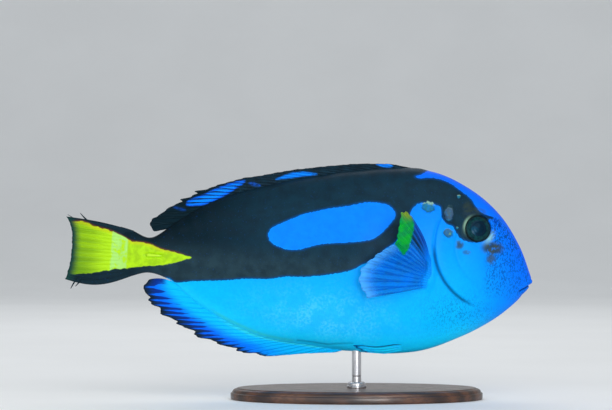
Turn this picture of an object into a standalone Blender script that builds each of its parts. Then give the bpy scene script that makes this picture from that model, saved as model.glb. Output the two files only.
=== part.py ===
"""A regal blue tang, life-size, as a still display model swimming slightly nose-down on a small stand.

Lengths are written in millimetres and multiplied by MM. The fish has a frame of its own: `back` is the
distance behind the tip of the snout along the body's axis, `high` is the height above that axis, and the
sides are +Y (left) and -Y (right). The empty fish_axis then tips it nose-down and sets it over the stand.
"""

import math

import bmesh
import bpy
import numpy as np
from mathutils import Matrix, Vector

MM = 0.001
GAP = 0.3 * MM
NOSE_DOWN = math.radians(4.08)

# Body stations: distance behind the snout, height of the back, depth of the keel, half of the width
STATIONS = np.array(
    [
        (0.0, -0.3, -0.3, 0.0),
        (1.5, 4.5, -3.5, 1.9),
        (6.6, 15.3, -10.0, 4.5),
        (15.2, 27.0, -17.7, 7.5),
        (28.4, 37.1, -25.9, 10.3),
        (47.0, 43.9, -33.6, 12.1),
        (66.0, 43.2, -35.6, 12.4),
        (90.0, 39.1, -33.9, 11.2),
        (116.0, 32.2, -30.9, 8.6),
        (140.0, 23.0, -20.3, 5.4),
        (156.0, 12.2, -9.9, 3.4),
        (164.0, 7.0, -8.1, 2.8),
        (173.0, 9.8, -10.7, 2.0),
    ]
)
BODY_END = 173.0 * MM
ROUNDNESS = 0.96
BODY_RINGS, BODY_SIDES = 42, 34
RING_SPACING_POWER = 1.5

# Gill cover: a crescent about one centre, between the preopercle and the gill opening
GILL_BACK, GILL_HIGH = 16.0 * MM, 14.0 * MM
GILL_RADIUS, PREOPERCLE_RADIUS = 27.0 * MM, 18.5 * MM
GILL_TOP_ANGLE, GILL_THROAT_ANGLE = math.radians(14), math.radians(-84)
COVER_RISE, COVER_THICKNESS = 0.7 * MM, 1.7 * MM
NAPE_BACK, THROAT_BACK = 44.0 * MM, 16.0 * MM
STALK_CUT_BACK = 157.6 * MM

# Eye
EYE_BACK, EYE_HIGH = 24.9 * MM, 20.8 * MM
EYE_RADIUS, EYE_HALF_DEPTH, EYE_SINK = 6.2 * MM, 3.2 * MM, 1.9 * MM
RIM_RADIUS, RIM_THICKNESS = 5.9 * MM, 0.7 * MM
NOSTRILS = ((17.4 * MM, 24.6 * MM, 0.8 * MM), (15.6 * MM, 22.9 * MM, 0.6 * MM))

# Mouth: a short cleft that runs back and down from the tip of the snout to its corners
MOUTH_CORNER = (5.1 * MM, -4.7 * MM)
MOUTH_ROOF_SLOPE, MOUTH_FLOOR_SLOPE = 0.60, 0.36
JAW_HINGE_LEAN = 0.27
LIP_RADIUS, LIP_SET, LIP_TAPER = 0.8 * MM, 0.55 * MM, 0.6

# Fins: thickness of the membrane at root and edge, and how far a ray stands above it at root and tip
MEMBRANE, MEMBRANE_EDGE = 0.9 * MM, 0.5 * MM
RAY, RAY_TIP = 0.7 * MM, 0.15 * MM
RAY_SHARE = 0.42
FIN_CLEARANCE = 1.15 * GAP
# The body's edge that a back or belly fin's margin is measured from stays level behind this place
FIN_BODY_END = 163.0 * MM

# Dorsal fin: its foot, how far its rays sweep back, and how far its margin stands above the back
DORSAL_FROM, DORSAL_TO, DORSAL_RAYS = 49.5 * MM, 156.4 * MM, 28
DORSAL_SWEEP, DORSAL_SWEEP_MORE, DORSAL_LOBE = 5.5 * MM, 15.0 * MM, 3.2 * MM
DORSAL_MARGIN_FROM, DORSAL_RISE, DORSAL_SLOPE = 54.0 * MM, 1.2 * MM, 0.062
DORSAL_FRONT_HEIGHT, DORSAL_REAR_HEIGHT = 0.5 * MM, 1.6 * MM

# Anal fin: the same, downwards
ANAL_FROM, ANAL_TO, ANAL_RAYS = 76.5 * MM, 151.0 * MM, 22
ANAL_SWEEP, ANAL_SWEEP_FRONT, ANAL_SWEEP_MORE = 5.0 * MM, 10.0 * MM, 12.0 * MM
ANAL_MARGIN_FROM, ANAL_DROP, ANAL_SLOPE = 76.0 * MM, 0.6 * MM, 0.2

# Tail fin: how much shorter its middle is, how far its upper corner trails, and the bow of its edges
CAUDAL_RAYS, CAUDAL_END, CAUDAL_HALF_HEIGHT = 16, 199.3 * MM, 13.4 * MM
CAUDAL_HOLLOW, CAUDAL_UPPER_TIP = 1.9 * MM, 1.2 * MM
CAUDAL_BOW_BELOW, CAUDAL_BOW_ABOVE = 3.0 * MM, 0.7 * MM

# Pectoral fin: its foot on the flank, and its rays, which turn from lifted to trailing
PECTORAL_RAYS = 15
PECTORAL_TOP = (45.0 * MM, 5.6 * MM)
PECTORAL_FOOT = (42.2 * MM, -5.0 * MM)
PECTORAL_LENGTH, PECTORAL_SHORTER, PECTORAL_LONGER = 33.0 * MM, 6.0 * MM, 3.0 * MM
PECTORAL_TIP = 7.5 * MM
PECTORAL_LIFT, PECTORAL_FAN = math.radians(67), math.radians(82)
PECTORAL_OUT, PECTORAL_OUT_MORE = math.radians(22), math.radians(30)
PECTORAL_CURL = 0.10
PECTORAL_MEMBRANE, PECTORAL_RAY = 1.0 * MM, 0.55 * MM
PECTORAL_PAD = (1.7 * MM, 1.8 * MM, 6.3 * MM)

# Pelvic fins, folded back along the keel
PELVIC_RAYS = 4
PELVIC_FROM, PELVIC_LENGTH, PELVIC_SHORTER = 51.0 * MM, 20.5 * MM, 6.0 * MM
PELVIC_APART, PELVIC_CLOSER, PELVIC_TAPER = 4.9 * MM, 2.7 * MM, 2.6 * MM
PELVIC_LIFT, PELVIC_RAY = 2.4 * MM, 0.4 * MM
PELVIC_PAD = (2.4 * MM, 1.2 * MM, 1.5 * MM)

# Spine of the tail stalk
SCALPEL_BACK, SCALPEL_LENGTH, SCALPEL_RADIUS = 165.2 * MM, 6.6 * MM, 0.9 * MM
SCALPEL_HIGH = -0.5 * MM

# Stand
BASE_LENGTH, BASE_WIDTH, BASE_THICKNESS, BASE_EDGE = 108.0 * MM, 58.0 * MM, 5.0 * MM, 0.8 * MM
ROD_RADIUS, ROD_BACK, ROD_LENGTH = 2.0 * MM, 72.6 * MM, 30.0 * MM
COLLAR_RADIUS, COLLAR_HEIGHT = 4.2 * MM, 2.2 * MM
SNOUT_HEIGHT = 50.6 * MM

# Farther out than any of the fish, and than the sides of its head
FAR, HEAD_REACH = 250 * MM, 20 * MM
RANDOM_SEED = 7


def smooth(t):
    """A ramp from 0 to 1 with level ends."""
    t = np.clip(t, 0.0, 1.0)
    return t * t * (3.0 - 2.0 * t)


def station_curve(column):
    """A smooth curve of back through one column of the stations.

    It is a cubic through the stations over the square root of the distance, which rounds the snout.
    """
    places = np.sqrt(STATIONS[:, 0] * MM)
    values = STATIONS[:, column] * MM
    slopes = np.gradient(values, places)
    slopes[0] = (values[1] - values[0]) / (places[1] - places[0])

    def curve(back):
        at = np.sqrt(np.clip(back, 0.0, BODY_END))
        i = np.clip(np.searchsorted(places, at) - 1, 0, len(places) - 2)
        step = places[i + 1] - places[i]
        t = (at - places[i]) / step
        start = values[i] * (1 + 2 * t) * (1 - t) ** 2 + step * slopes[i] * t * (1 - t) ** 2
        end = values[i + 1] * t**2 * (3 - 2 * t) + step * slopes[i + 1] * t**2 * (t - 1)
        return start + end

    return curve


top = station_curve(1)
keel = station_curve(2)
half_width = station_curve(3)


def cover_rise(back, high):
    """The gill cover swells outwards towards its rear edge."""
    reach = np.hypot(back - GILL_BACK, high - GILL_HIGH) / GILL_RADIUS
    angle = np.arctan2(high - GILL_HIGH, back - GILL_BACK)
    below_top = smooth((GILL_TOP_ANGLE + 0.45 - angle) / 0.5)
    above_throat = smooth((angle - GILL_THROAT_ANGLE + 0.5) / 0.5)
    return COVER_RISE * smooth((reach - 0.55) / 0.4) * below_top * above_throat


def side_of_body(back, high, grow=0.0):
    """Half width of the body at a height above the axis."""
    middle = (top(back) + keel(back)) / 2
    half_height = (top(back) - keel(back)) / 2 + grow
    across = np.clip(1.0 - ((high - middle) / half_height) ** 2, 0.0, 1.0)
    return (half_width(back) + grow) * across ** (ROUNDNESS / 2)


def place(back, side, high):
    """A point of the fish's frame as (x, y, z), with the snout at the origin and x forwards."""
    return np.stack(np.broadcast_arrays(-np.asarray(back, float), side, high), axis=-1)


def mesh_object(name, points, faces):
    """A new mesh object whose faces all point outwards."""
    mesh = bpy.data.meshes.new(name)
    mesh.from_pydata(np.asarray(points).reshape(-1, 3).tolist(), [], faces)
    shape = bmesh.new()
    shape.from_mesh(mesh)
    bmesh.ops.recalc_face_normals(shape, faces=shape.faces)
    shape.to_mesh(mesh)
    shape.free()
    obj = bpy.data.objects.new(name, mesh)
    bpy.context.scene.collection.objects.link(obj)
    return obj


def body_loft(name, grow=0.0, gilled=False):
    """The whole body as one closed loft of oval rings, from the tip of the snout to the tail fin."""
    share = np.arange(1, BODY_RINGS + 1) / BODY_RINGS
    back = (BODY_END * share**RING_SPACING_POWER)[:, None]
    turn = np.arange(BODY_SIDES) * 2 * math.pi / BODY_SIDES
    middle = (top(back) + keel(back)) / 2
    half_height = (top(back) - keel(back)) / 2 + grow
    high = middle + half_height * np.sin(turn)
    side = (half_width(back) + grow) * np.sign(np.cos(turn)) * np.abs(np.cos(turn)) ** ROUNDNESS
    if gilled:
        side = side + np.sign(np.round(side, 6)) * cover_rise(back, high)
    rings = place(back + 0 * high, side, high).reshape(-1, 3)
    tip = [(grow, 0.0, 0.0)]
    points = np.concatenate([rings, tip])
    faces = []
    for ring in range(BODY_RINGS - 1):
        for i in range(BODY_SIDES):
            j = (i + 1) % BODY_SIDES
            here, next_ring = ring * BODY_SIDES, (ring + 1) * BODY_SIDES
            faces.append((here + i, here + j, next_ring + j, next_ring + i))
    tip_index = len(points) - 1
    faces += [(i, tip_index, (i + 1) % BODY_SIDES) for i in range(BODY_SIDES)]
    last = (BODY_RINGS - 1) * BODY_SIDES
    faces.append(tuple(last + i for i in range(BODY_SIDES)))
    return mesh_object(name, points, faces)


def applied(obj):
    """The object with its modifiers made permanent."""
    bpy.context.view_layer.update()
    graph = bpy.context.evaluated_depsgraph_get()
    finished = bpy.data.meshes.new_from_object(obj.evaluated_get(graph))
    obj.modifiers.clear()
    obj.data = finished
    return obj


def boolean(obj, operation, others, solver="EXACT"):
    """Joins, cuts or clips obj with other closed meshes, which are then removed."""
    held = bpy.data.collections.new("boolean_pieces")
    bpy.context.scene.collection.children.link(held)
    for other in others:
        for home in other.users_collection:
            home.objects.unlink(other)
        held.objects.link(other)
    step = obj.modifiers.new("boolean", "BOOLEAN")
    step.operation = operation
    step.operand_type = "COLLECTION"
    step.collection = held
    step.solver = solver
    applied(obj)
    for other in others:
        bpy.data.objects.remove(other)
    bpy.data.collections.remove(held)
    return obj


def clip(obj, region):
    """Keeps only what lies inside region, which is then removed."""
    step = obj.modifiers.new("clip", "BOOLEAN")
    step.operation = "INTERSECT"
    step.object = region
    applied(obj)
    bpy.data.objects.remove(region)
    return obj


def keep_largest(obj):
    """Keeps the largest closed surface of a mesh."""
    shape = bmesh.new()
    shape.from_mesh(obj.data)
    bmesh.ops.triangulate(shape, faces=shape.faces)
    bmesh.ops.remove_doubles(shape, verts=shape.verts, dist=1e-7)
    unseen = set(shape.verts)
    islands = []
    while unseen:
        edge_of_island, island = [unseen.pop()], []
        while edge_of_island:
            vert = edge_of_island.pop()
            island.append(vert)
            for edge in vert.link_edges:
                other = edge.other_vert(vert)
                if other in unseen:
                    unseen.remove(other)
                    edge_of_island.append(other)
        islands.append(island)
    islands.sort(key=lambda island: -span(island))
    loose = [vert for island in islands[1:] for vert in island]
    bmesh.ops.delete(shape, geom=loose, context="VERTS")
    shape.to_mesh(obj.data)
    shape.free()
    return obj


def span(verts):
    """The longest side of the box round some vertices."""
    places = np.array([vert.co for vert in verts])
    return float((places.max(axis=0) - places.min(axis=0)).max())


def prism(name, outline_points, from_side, to_side):
    """A flat outline in the fish's side view, given as (back, high), made solid between two sides."""
    curve = bpy.data.curves.new(name, "CURVE")
    curve.dimensions = "2D"
    curve.fill_mode = "BOTH"
    curve.extrude = (to_side - from_side) / 2
    spline = curve.splines.new("POLY")
    spline.points.add(len(outline_points) - 1)
    for point, (back, high) in zip(spline.points, outline_points):
        point.co = (-back, high, 0.0, 1.0)
    spline.use_cyclic_u = True
    holder = bpy.data.objects.new(name, curve)
    bpy.context.scene.collection.objects.link(holder)
    holder.rotation_euler = (math.pi / 2, 0.0, 0.0)
    holder.location = (0.0, (from_side + to_side) / 2, 0.0)
    return curve_to_mesh(holder)


def curve_to_mesh(holder):
    """A curve object made a closed mesh, with its caps welded and its place in its points."""
    bpy.context.view_layer.update()
    graph = bpy.context.evaluated_depsgraph_get()
    name = holder.name
    mesh = bpy.data.meshes.new_from_object(holder.evaluated_get(graph))
    mesh.transform(holder.matrix_world)
    bpy.data.objects.remove(holder)
    shape = bmesh.new()
    shape.from_mesh(mesh)
    bmesh.ops.remove_doubles(shape, verts=shape.verts, dist=1e-6)
    bmesh.ops.recalc_face_normals(shape, faces=shape.faces)
    shape.to_mesh(mesh)
    shape.free()
    obj = bpy.data.objects.new(name, mesh)
    bpy.context.scene.collection.objects.link(obj)
    return obj


def lump(name, centre, half_sizes, turn=None, segments=18):
    """An ellipsoid."""
    shape = bmesh.new()
    bmesh.ops.create_uvsphere(shape, u_segments=segments, v_segments=segments // 2, radius=1.0)
    frame = Matrix.Translation(centre) @ (turn or Matrix.Identity(4)) @ Matrix.Diagonal((*half_sizes, 1))
    bmesh.ops.transform(shape, matrix=frame, verts=shape.verts)
    bmesh.ops.recalc_face_normals(shape, faces=shape.faces)
    mesh = bpy.data.meshes.new(name)
    shape.to_mesh(mesh)
    shape.free()
    obj = bpy.data.objects.new(name, mesh)
    bpy.context.scene.collection.objects.link(obj)
    return obj


def arc_points(radius, from_angle, to_angle, steps):
    """Points (back, high) along an arc about the gill cover's centre."""
    angles = np.linspace(from_angle, to_angle, steps)
    return [(GILL_BACK + radius * math.cos(a), GILL_HIGH + radius * math.sin(a)) for a in angles]


def gill_line(offset):
    """The line that parts head from trunk, from above the nape to under the throat, set back by offset."""
    throat_angle = GILL_THROAT_ANGLE + offset / GILL_RADIUS
    edge = arc_points(GILL_RADIUS + offset, GILL_TOP_ANGLE, throat_angle, 22)
    return [(NAPE_BACK + offset, FAR), *edge, (THROAT_BACK + offset, -FAR)]


def behind_head(offset):
    """The region behind the gill line, as a prism."""
    return prism("behind_head", [*gill_line(offset), (FAR, -FAR), (FAR, FAR)], -FAR, FAR)


def ahead_of_trunk(offset):
    """The region ahead of the gill line, as a prism."""
    return prism("ahead_of_trunk", [*gill_line(offset), (-FAR, -FAR), (-FAR, FAR)], -FAR, FAR)


def crescent(offset, side):
    """The gill cover's outline on one side (-1 right, 1 left), grown by offset, as a prism."""
    slack = offset / PREOPERCLE_RADIUS
    outer = arc_points(GILL_RADIUS + 4 * offset, GILL_TOP_ANGLE + slack, GILL_THROAT_ANGLE - slack, 22)
    inner = arc_points(PREOPERCLE_RADIUS - offset, GILL_THROAT_ANGLE - slack, GILL_TOP_ANGLE + slack, 16)
    inside, outside = sorted((1.0 * MM * side, HEAD_REACH * side))
    return prism("crescent", [*outer, *inner], inside, outside)


def surface_frame(back, high, side):
    """The skin's point at (back, high) on one side, its normal, and the turn that lays a piece on it."""
    step = 0.5 * MM
    across = float(side_of_body(back, high))
    slope_back = float(side_of_body(back + step, high) - side_of_body(back - step, high)) / 2 / step
    slope_high = float(side_of_body(back, high + step) - side_of_body(back, high - step)) / 2 / step
    normal = Vector((slope_back, 1.0, -slope_high)).normalized()
    normal.y *= side
    turn = Vector((0.0, side, 0.0)).rotation_difference(normal).to_matrix().to_4x4()
    return Vector((-back, side * across, high)), normal, turn


def eye_lump(name, side, grow=0.0):
    """An eyeball, flattened from side to side and set into the head."""
    point, normal, turn = surface_frame(EYE_BACK, EYE_HIGH, side)
    sizes = (EYE_RADIUS + grow, EYE_HALF_DEPTH + grow, EYE_RADIUS + grow)
    return lump(name, point - normal * EYE_SINK, sizes, turn, 24)


def eye_rim(side):
    """The ring of skin round the eye."""
    point, normal, turn = surface_frame(EYE_BACK, EYE_HIGH, side)
    bpy.ops.mesh.primitive_torus_add(
        major_radius=RIM_RADIUS, minor_radius=RIM_THICKNESS, major_segments=24, minor_segments=6
    )
    rim = bpy.context.object
    rim.data.transform(turn @ Matrix.Rotation(math.pi / 2, 4, "X"))
    rim.data.transform(Matrix.Translation(point - normal * RIM_THICKNESS * 0.3))
    return rim


def lip(name, slope, above):
    """A lip: a tube laid on the snout along one edge of the cleft, thinner at the corners of the mouth."""
    offset = above * LIP_SET
    tries = np.linspace(0.0, MOUTH_CORNER[0], 600)
    line = MOUTH_CORNER[1] + slope * (MOUTH_CORNER[0] - tries) + offset
    front = tries[np.argmax((top(tries) >= line) & (keel(tries) <= line))]
    across = np.linspace(-1.0, 1.0, 17)
    back = front + (MOUTH_CORNER[0] - front) * across**2
    high = MOUTH_CORNER[1] + slope * (MOUTH_CORNER[0] - back) + offset
    side = np.sign(across) * side_of_body(back, high)
    return tube(name, place(back, side, high), LIP_RADIUS * (1.0 - LIP_TAPER * np.abs(across) ** 3))


def tube(name, points, radii, sides_level=2):
    """A round tube through points with a radius at each."""
    curve = bpy.data.curves.new(name, "CURVE")
    curve.dimensions = "3D"
    curve.bevel_depth = 1.0
    curve.bevel_resolution = sides_level
    curve.use_fill_caps = True
    spline = curve.splines.new("POLY")
    spline.points.add(len(points) - 1)
    for node, point, radius in zip(spline.points, points, radii):
        node.co = (*point, 1.0)
        node.radius = radius
    holder = bpy.data.objects.new(name, curve)
    bpy.context.scene.collection.objects.link(holder)
    return curve_to_mesh(holder)


def jaw_outline(slope, offset):
    """The lower jaw in side view: under a line through the mouth's corner and ahead of the jaw's hinge."""
    corner_back, corner_high = MOUTH_CORNER[0] + offset, MOUTH_CORNER[1] + offset
    front, depth = -4 * MM, 16 * MM
    return [
        (front, corner_high + slope * (corner_back - front)),
        (corner_back, corner_high),
        (corner_back + JAW_HINGE_LEAN * depth, corner_high - depth),
        (front, corner_high - depth),
    ]


def make_head():
    """The head: eye sockets and their rims, nostrils, upper lip, mouth, and the beds of the gill covers."""
    head = boolean(body_loft("head", gilled=True), "DIFFERENCE", [behind_head(0.0)])
    boolean(head, "UNION", [eye_rim(-1), eye_rim(1)])
    cuts = [eye_lump("socket", side, GAP) for side in (-1, 1)]
    cuts.append(prism("mouth", jaw_outline(MOUTH_ROOF_SLOPE, GAP), -HEAD_REACH, HEAD_REACH))
    for side in (-1, 1):
        for back, high, radius in NOSTRILS:
            point, normal, turn = surface_frame(back, high, side)
            cuts.append(lump("nostril", point, (radius, 1.4 * radius, radius), turn, 10))
        bed = crescent(GAP, side)
        cuts.append(boolean(bed, "DIFFERENCE", [body_loft("core", grow=-COVER_THICKNESS - GAP)]))
    boolean(head, "DIFFERENCE", cuts)
    boolean(head, "UNION", [lip("upper_lip", MOUTH_ROOF_SLOPE, 1)])
    return keep_largest(head)


def make_gill_cover(name, side):
    """A gill cover: the crescent of skin behind the cheek, standing proud of the trunk behind it."""
    cover = clip(body_loft(name, gilled=True), crescent(0.0, side))
    boolean(cover, "DIFFERENCE", [behind_head(0.0), body_loft("core", grow=-COVER_THICKNESS)])
    return keep_largest(cover)


def make_lower_jaw():
    """The lower jaw with its lip."""
    outline = jaw_outline(MOUTH_FLOOR_SLOPE, 0.0)
    jaw = clip(body_loft("lower_jaw"), prism("jaw", outline, -HEAD_REACH, HEAD_REACH))
    boolean(jaw, "UNION", [lip("lower_lip", MOUTH_FLOOR_SLOPE, -1)], "MANIFOLD")
    return keep_largest(jaw)


def make_trunk():
    """The trunk, from the gill covers to the tail stalk."""
    cut = STALK_CUT_BACK
    stalk = prism("stalk", [(cut, FAR), (FAR, FAR), (FAR, -FAR), (cut, -FAR)], -FAR, FAR)
    return keep_largest(boolean(body_loft("torso"), "DIFFERENCE", [ahead_of_trunk(GAP), stalk]))


def make_tail_stalk():
    """The narrow stalk that carries the tail fin, with a groove for the spine on each side."""
    start = STALK_CUT_BACK + GAP
    ahead = prism("ahead", [(-FAR, FAR), (start, FAR), (start, -FAR), (-FAR, -FAR)], -FAR, FAR)
    grooves = [scalpel("groove", side, GAP) for side in (-1, 1)]
    return keep_largest(boolean(body_loft("tail_stalk"), "DIFFERENCE", [ahead, *grooves]))


def scalpel(name, side, grow=0.0):
    """The spine of the tail stalk: hinged at its rear, lying forwards in its groove."""
    back = np.array([SCALPEL_BACK + grow, SCALPEL_BACK - 1.2 * MM, SCALPEL_BACK - SCALPEL_LENGTH - grow])
    out = np.array([0.10, 0.15, 0.0]) * MM
    side_places = side * (side_of_body(back, SCALPEL_HIGH) + out)
    radii = np.array([0.75, 1.0, 0.25]) * SCALPEL_RADIUS + grow
    return tube(name, place(back, side_places, SCALPEL_HIGH), radii, 1)


def ray_columns(count, ridge=RAY_SHARE):
    """Places across a fin from 0 to 1 (foot, crest and foot of each ray), and which of them are crests."""
    crests = np.linspace(0.0, 1.0, count)
    half = 0.5 * ridge / (count - 1)
    places = np.stack([crests - half, crests, crests + half], axis=1).ravel()[1:-1]
    is_crest = np.tile([False, True, False], count)[1:-1]
    return places, is_crest


def vane(name, middle, normal, thickness):
    """A closed sheet on a grid of points (columns, rows), split into triangles alike on both faces."""
    columns, rows = middle.shape[:2]
    half = normal * thickness[..., None] / 2
    points = np.concatenate([(middle - half).reshape(-1, 3), (middle + half).reshape(-1, 3)])
    other = columns * rows
    faces = []
    for c in range(columns - 1):
        for r in range(rows - 1):
            a, b = c * rows + r, (c + 1) * rows + r
            faces += [(a, b, b + 1), (a, b + 1, a + 1)]
            faces += [(other + a, other + b + 1, other + b), (other + a, other + a + 1, other + b + 1)]
    rim = [c * rows for c in range(columns)]
    rim += [(columns - 1) * rows + r for r in range(1, rows)]
    rim += [c * rows + rows - 1 for c in range(columns - 2, -1, -1)]
    rim += list(range(rows - 2, 0, -1))
    for a, b in zip(rim, rim[1:] + rim[:1]):
        faces += [(a, other + a, other + b), (a, other + b, b)]
    return mesh_object(name, points, faces)


def ray_thickness(is_crest, along, root=MEMBRANE, edge=MEMBRANE_EDGE, ray=RAY, ray_tip=RAY_TIP):
    """Thickness of a fin at each column and row: the membrane thins to its edge, with rays above it."""
    membrane = root + (edge - root) * along
    ridge = ray + (ray_tip - ray) * along
    return membrane[None, :] + np.where(is_crest[:, None], ridge[None, :], 0.0)


def ragged(is_crest, count, notch, scatter, seed):
    """Share of its length that each column of a fin reaches: ray tips stick out of the membrane."""
    draw = np.random.default_rng(RANDOM_SEED + seed).uniform(-scatter, scatter, count)
    index = np.clip(np.round(np.linspace(0, count - 1, len(is_crest))).astype(int), 0, count - 1)
    return 1.0 + draw[index] - np.where(is_crest, 0.0, notch)


def median_fin(name, count, rows, root, tip, reach, wave):
    """A fin in the body's middle plane. root and tip are (back, high) at each column."""
    places, is_crest = ray_columns(count)
    along = np.linspace(0.0, 1.0, rows)
    start, end = np.stack(root(places), axis=-1), np.stack(tip(places), axis=-1)
    end = start + (end - start) * reach(is_crest)[:, None]
    grid = start[:, None, :] + (end - start)[:, None, :] * along[None, :, None]
    side = wave * np.sin(places[:, None] * 9.0) * along[None, :] ** 2
    middle = place(grid[..., 0], side, grid[..., 1])
    normal = np.broadcast_to((0.0, 1.0, 0.0), middle.shape)
    return vane(name, middle, normal, ray_thickness(is_crest, along))


def make_dorsal_fin():
    """The long back fin, folded low: nine spines and nineteen rays that sweep back."""

    def root(u):
        back = DORSAL_FROM + (DORSAL_TO - DORSAL_FROM) * u
        return back, top(back) + FIN_CLEARANCE

    def tip(u):
        lobe = np.sin(math.pi * np.clip((u - 0.72) / 0.28, 0.0, 1.0) ** 2)
        fold = np.sin(math.pi * np.clip(u, 0.0, 1.0)) ** 0.6
        back = root(u)[0] + DORSAL_SWEEP + DORSAL_SWEEP_MORE * fold + DORSAL_LOBE * lobe
        height = DORSAL_FRONT_HEIGHT + DORSAL_RISE * smooth((back - DORSAL_MARGIN_FROM) / (12 * MM))
        height = height + DORSAL_SLOPE * (back - DORSAL_MARGIN_FROM)
        height = height + DORSAL_REAR_HEIGHT * smooth((u - 0.66) / 0.3)
        last = 1.0 - 0.8 * np.clip((u - 0.84) / 0.16, 0.0, 1.0) ** 2
        return back, top(np.minimum(back, FIN_BODY_END)) + height * last

    def reach(is_crest):
        return ragged(is_crest, DORSAL_RAYS, 0.035, 0.03, 1)

    return median_fin("dorsal_fin", DORSAL_RAYS, 4, root, tip, reach, 0.6 * MM)


def make_anal_fin():
    """The long belly fin: three spines and nineteen rays that sweep straight back to a ragged edge."""

    def root(u):
        back = ANAL_FROM + (ANAL_TO - ANAL_FROM) * u
        return back, keel(back) - FIN_CLEARANCE

    def tip(u):
        fold = np.sin(math.pi * np.clip(u, 0.0, 1.0)) ** 0.6
        sweep = ANAL_SWEEP + ANAL_SWEEP_FRONT * smooth(u / 0.18) + ANAL_SWEEP_MORE * fold
        back = root(u)[0] + sweep
        depth = ANAL_DROP * smooth((back - ANAL_MARGIN_FROM) / (6 * MM) + 0.33)
        depth = depth + ANAL_SLOPE * (back - ANAL_MARGIN_FROM)
        last = 1.0 - 0.80 * np.clip((u - 0.62) / 0.38, 0.0, 1.0) ** 1.7
        return back, keel(np.minimum(back, FIN_BODY_END)) - depth * last

    def reach(is_crest):
        return ragged(is_crest, ANAL_RAYS, 0.09, 0.05, 2)

    return median_fin("anal_fin", ANAL_RAYS, 5, root, tip, reach, 0.8 * MM)


def make_caudal_fin():
    """The tail fin: sixteen rays in a narrow fan, as thick at its root as the stalk's end."""
    places, is_crest = ray_columns(CAUDAL_RAYS)
    along = np.linspace(0.0, 1.0, 6)
    up = 2.0 * places - 1.0
    above, below = np.clip(up, 0.0, 1.0), np.clip(-up, 0.0, 1.0)
    start_high = np.where(up > 0, up * top(BODY_END), -up * keel(BODY_END))
    end_back = CAUDAL_END - CAUDAL_HOLLOW * (1.0 - up**2) + CAUDAL_UPPER_TIP * above**6
    end_high = up * CAUDAL_HALF_HEIGHT
    reach = ragged(is_crest, CAUDAL_RAYS, 0.03, 0.02, 3)
    bow = CAUDAL_BOW_ABOVE * above**3 - CAUDAL_BOW_BELOW * below**3
    root_back = BODY_END + GAP
    back = root_back + ((end_back - root_back) * reach)[:, None] * along
    high = start_high[:, None] + (end_high - start_high)[:, None] * along
    high = high + bow[:, None] * np.sin(math.pi * along)
    side = 0.7 * MM * np.sin(up * 4.0)[:, None] * along**2
    middle = place(back, side, high)
    stalk = 2.0 * half_width(BODY_END) * np.sqrt(np.clip(1.0 - up**2, 0.04, 1.0))
    root = np.maximum(stalk, MEMBRANE)[:, None]
    fade = np.clip(1.0 - along / 0.45, 0.0, 1.0) ** 2
    thin = ray_thickness(is_crest, along)
    thickness = thin + np.maximum(root - thin, 0.0) * fade
    return vane("caudal_fin", middle, np.broadcast_to((0.0, 1.0, 0.0), middle.shape), thickness)


def sheet_normals(grid):
    """Unit normals of a grid of points."""
    across = np.gradient(grid, axis=0)
    along = np.gradient(grid, axis=1)
    normal = np.cross(across, along)
    return normal / np.linalg.norm(normal, axis=-1, keepdims=True)


def make_pectoral_fin(name, side):
    """A pectoral fin, lifted and spread: its first rays point up and out, its last ones trail back."""
    t, is_crest = ray_columns(PECTORAL_RAYS)
    along = np.linspace(0.0, 1.0, 5)
    root_back = PECTORAL_TOP[0] + (PECTORAL_FOOT[0] - PECTORAL_TOP[0]) * t
    root_high = PECTORAL_TOP[1] + (PECTORAL_FOOT[1] - PECTORAL_TOP[1]) * t
    root_side = side_of_body(root_back, root_high) + MEMBRANE_EDGE
    lift = PECTORAL_LIFT - PECTORAL_FAN * t**1.25
    outward = PECTORAL_OUT + PECTORAL_OUT_MORE * (1.0 - smooth((t - 0.35) / 0.45))
    length = PECTORAL_LENGTH - PECTORAL_SHORTER * smooth(t / 0.35)
    length = length + PECTORAL_LONGER * smooth((t - 0.45) / 0.3)
    length = length + PECTORAL_TIP * np.exp(-(((t - 0.09) / 0.07) ** 2))
    length = length * ragged(is_crest, PECTORAL_RAYS, 0.03, 0.012, 4)
    direction = np.stack(
        [np.cos(lift) * np.cos(outward), np.sin(outward), np.sin(lift) * np.cos(outward)], axis=-1
    )
    grid = length[:, None, None] * along[None, :, None] * direction[:, None, :]
    curl = PECTORAL_CURL * length[:, None] * along**2
    middle = place(
        root_back[:, None] + grid[..., 0] + curl * 0.6,
        side * (root_side[:, None] + grid[..., 1] - curl * 0.5),
        root_high[:, None] + grid[..., 2],
    )
    thickness = ray_thickness(is_crest, along, root=PECTORAL_MEMBRANE, ray=PECTORAL_RAY)
    sheet = vane(name, middle, sheet_normals(middle), thickness)
    point, _, turn = surface_frame(float(root_back.mean()), float(root_high.mean()), side)
    foot_lean = math.atan2(PECTORAL_TOP[0] - PECTORAL_FOOT[0], PECTORAL_TOP[1] - PECTORAL_FOOT[1])
    pad = lump("pad", point, PECTORAL_PAD, turn @ Matrix.Rotation(-foot_lean, 4, "Y"), 14)
    boolean(sheet, "UNION", [pad])
    boolean(sheet, "DIFFERENCE", [body_loft("grown", grow=GAP), crescent(GAP, side)])
    return keep_largest(sheet)


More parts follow.
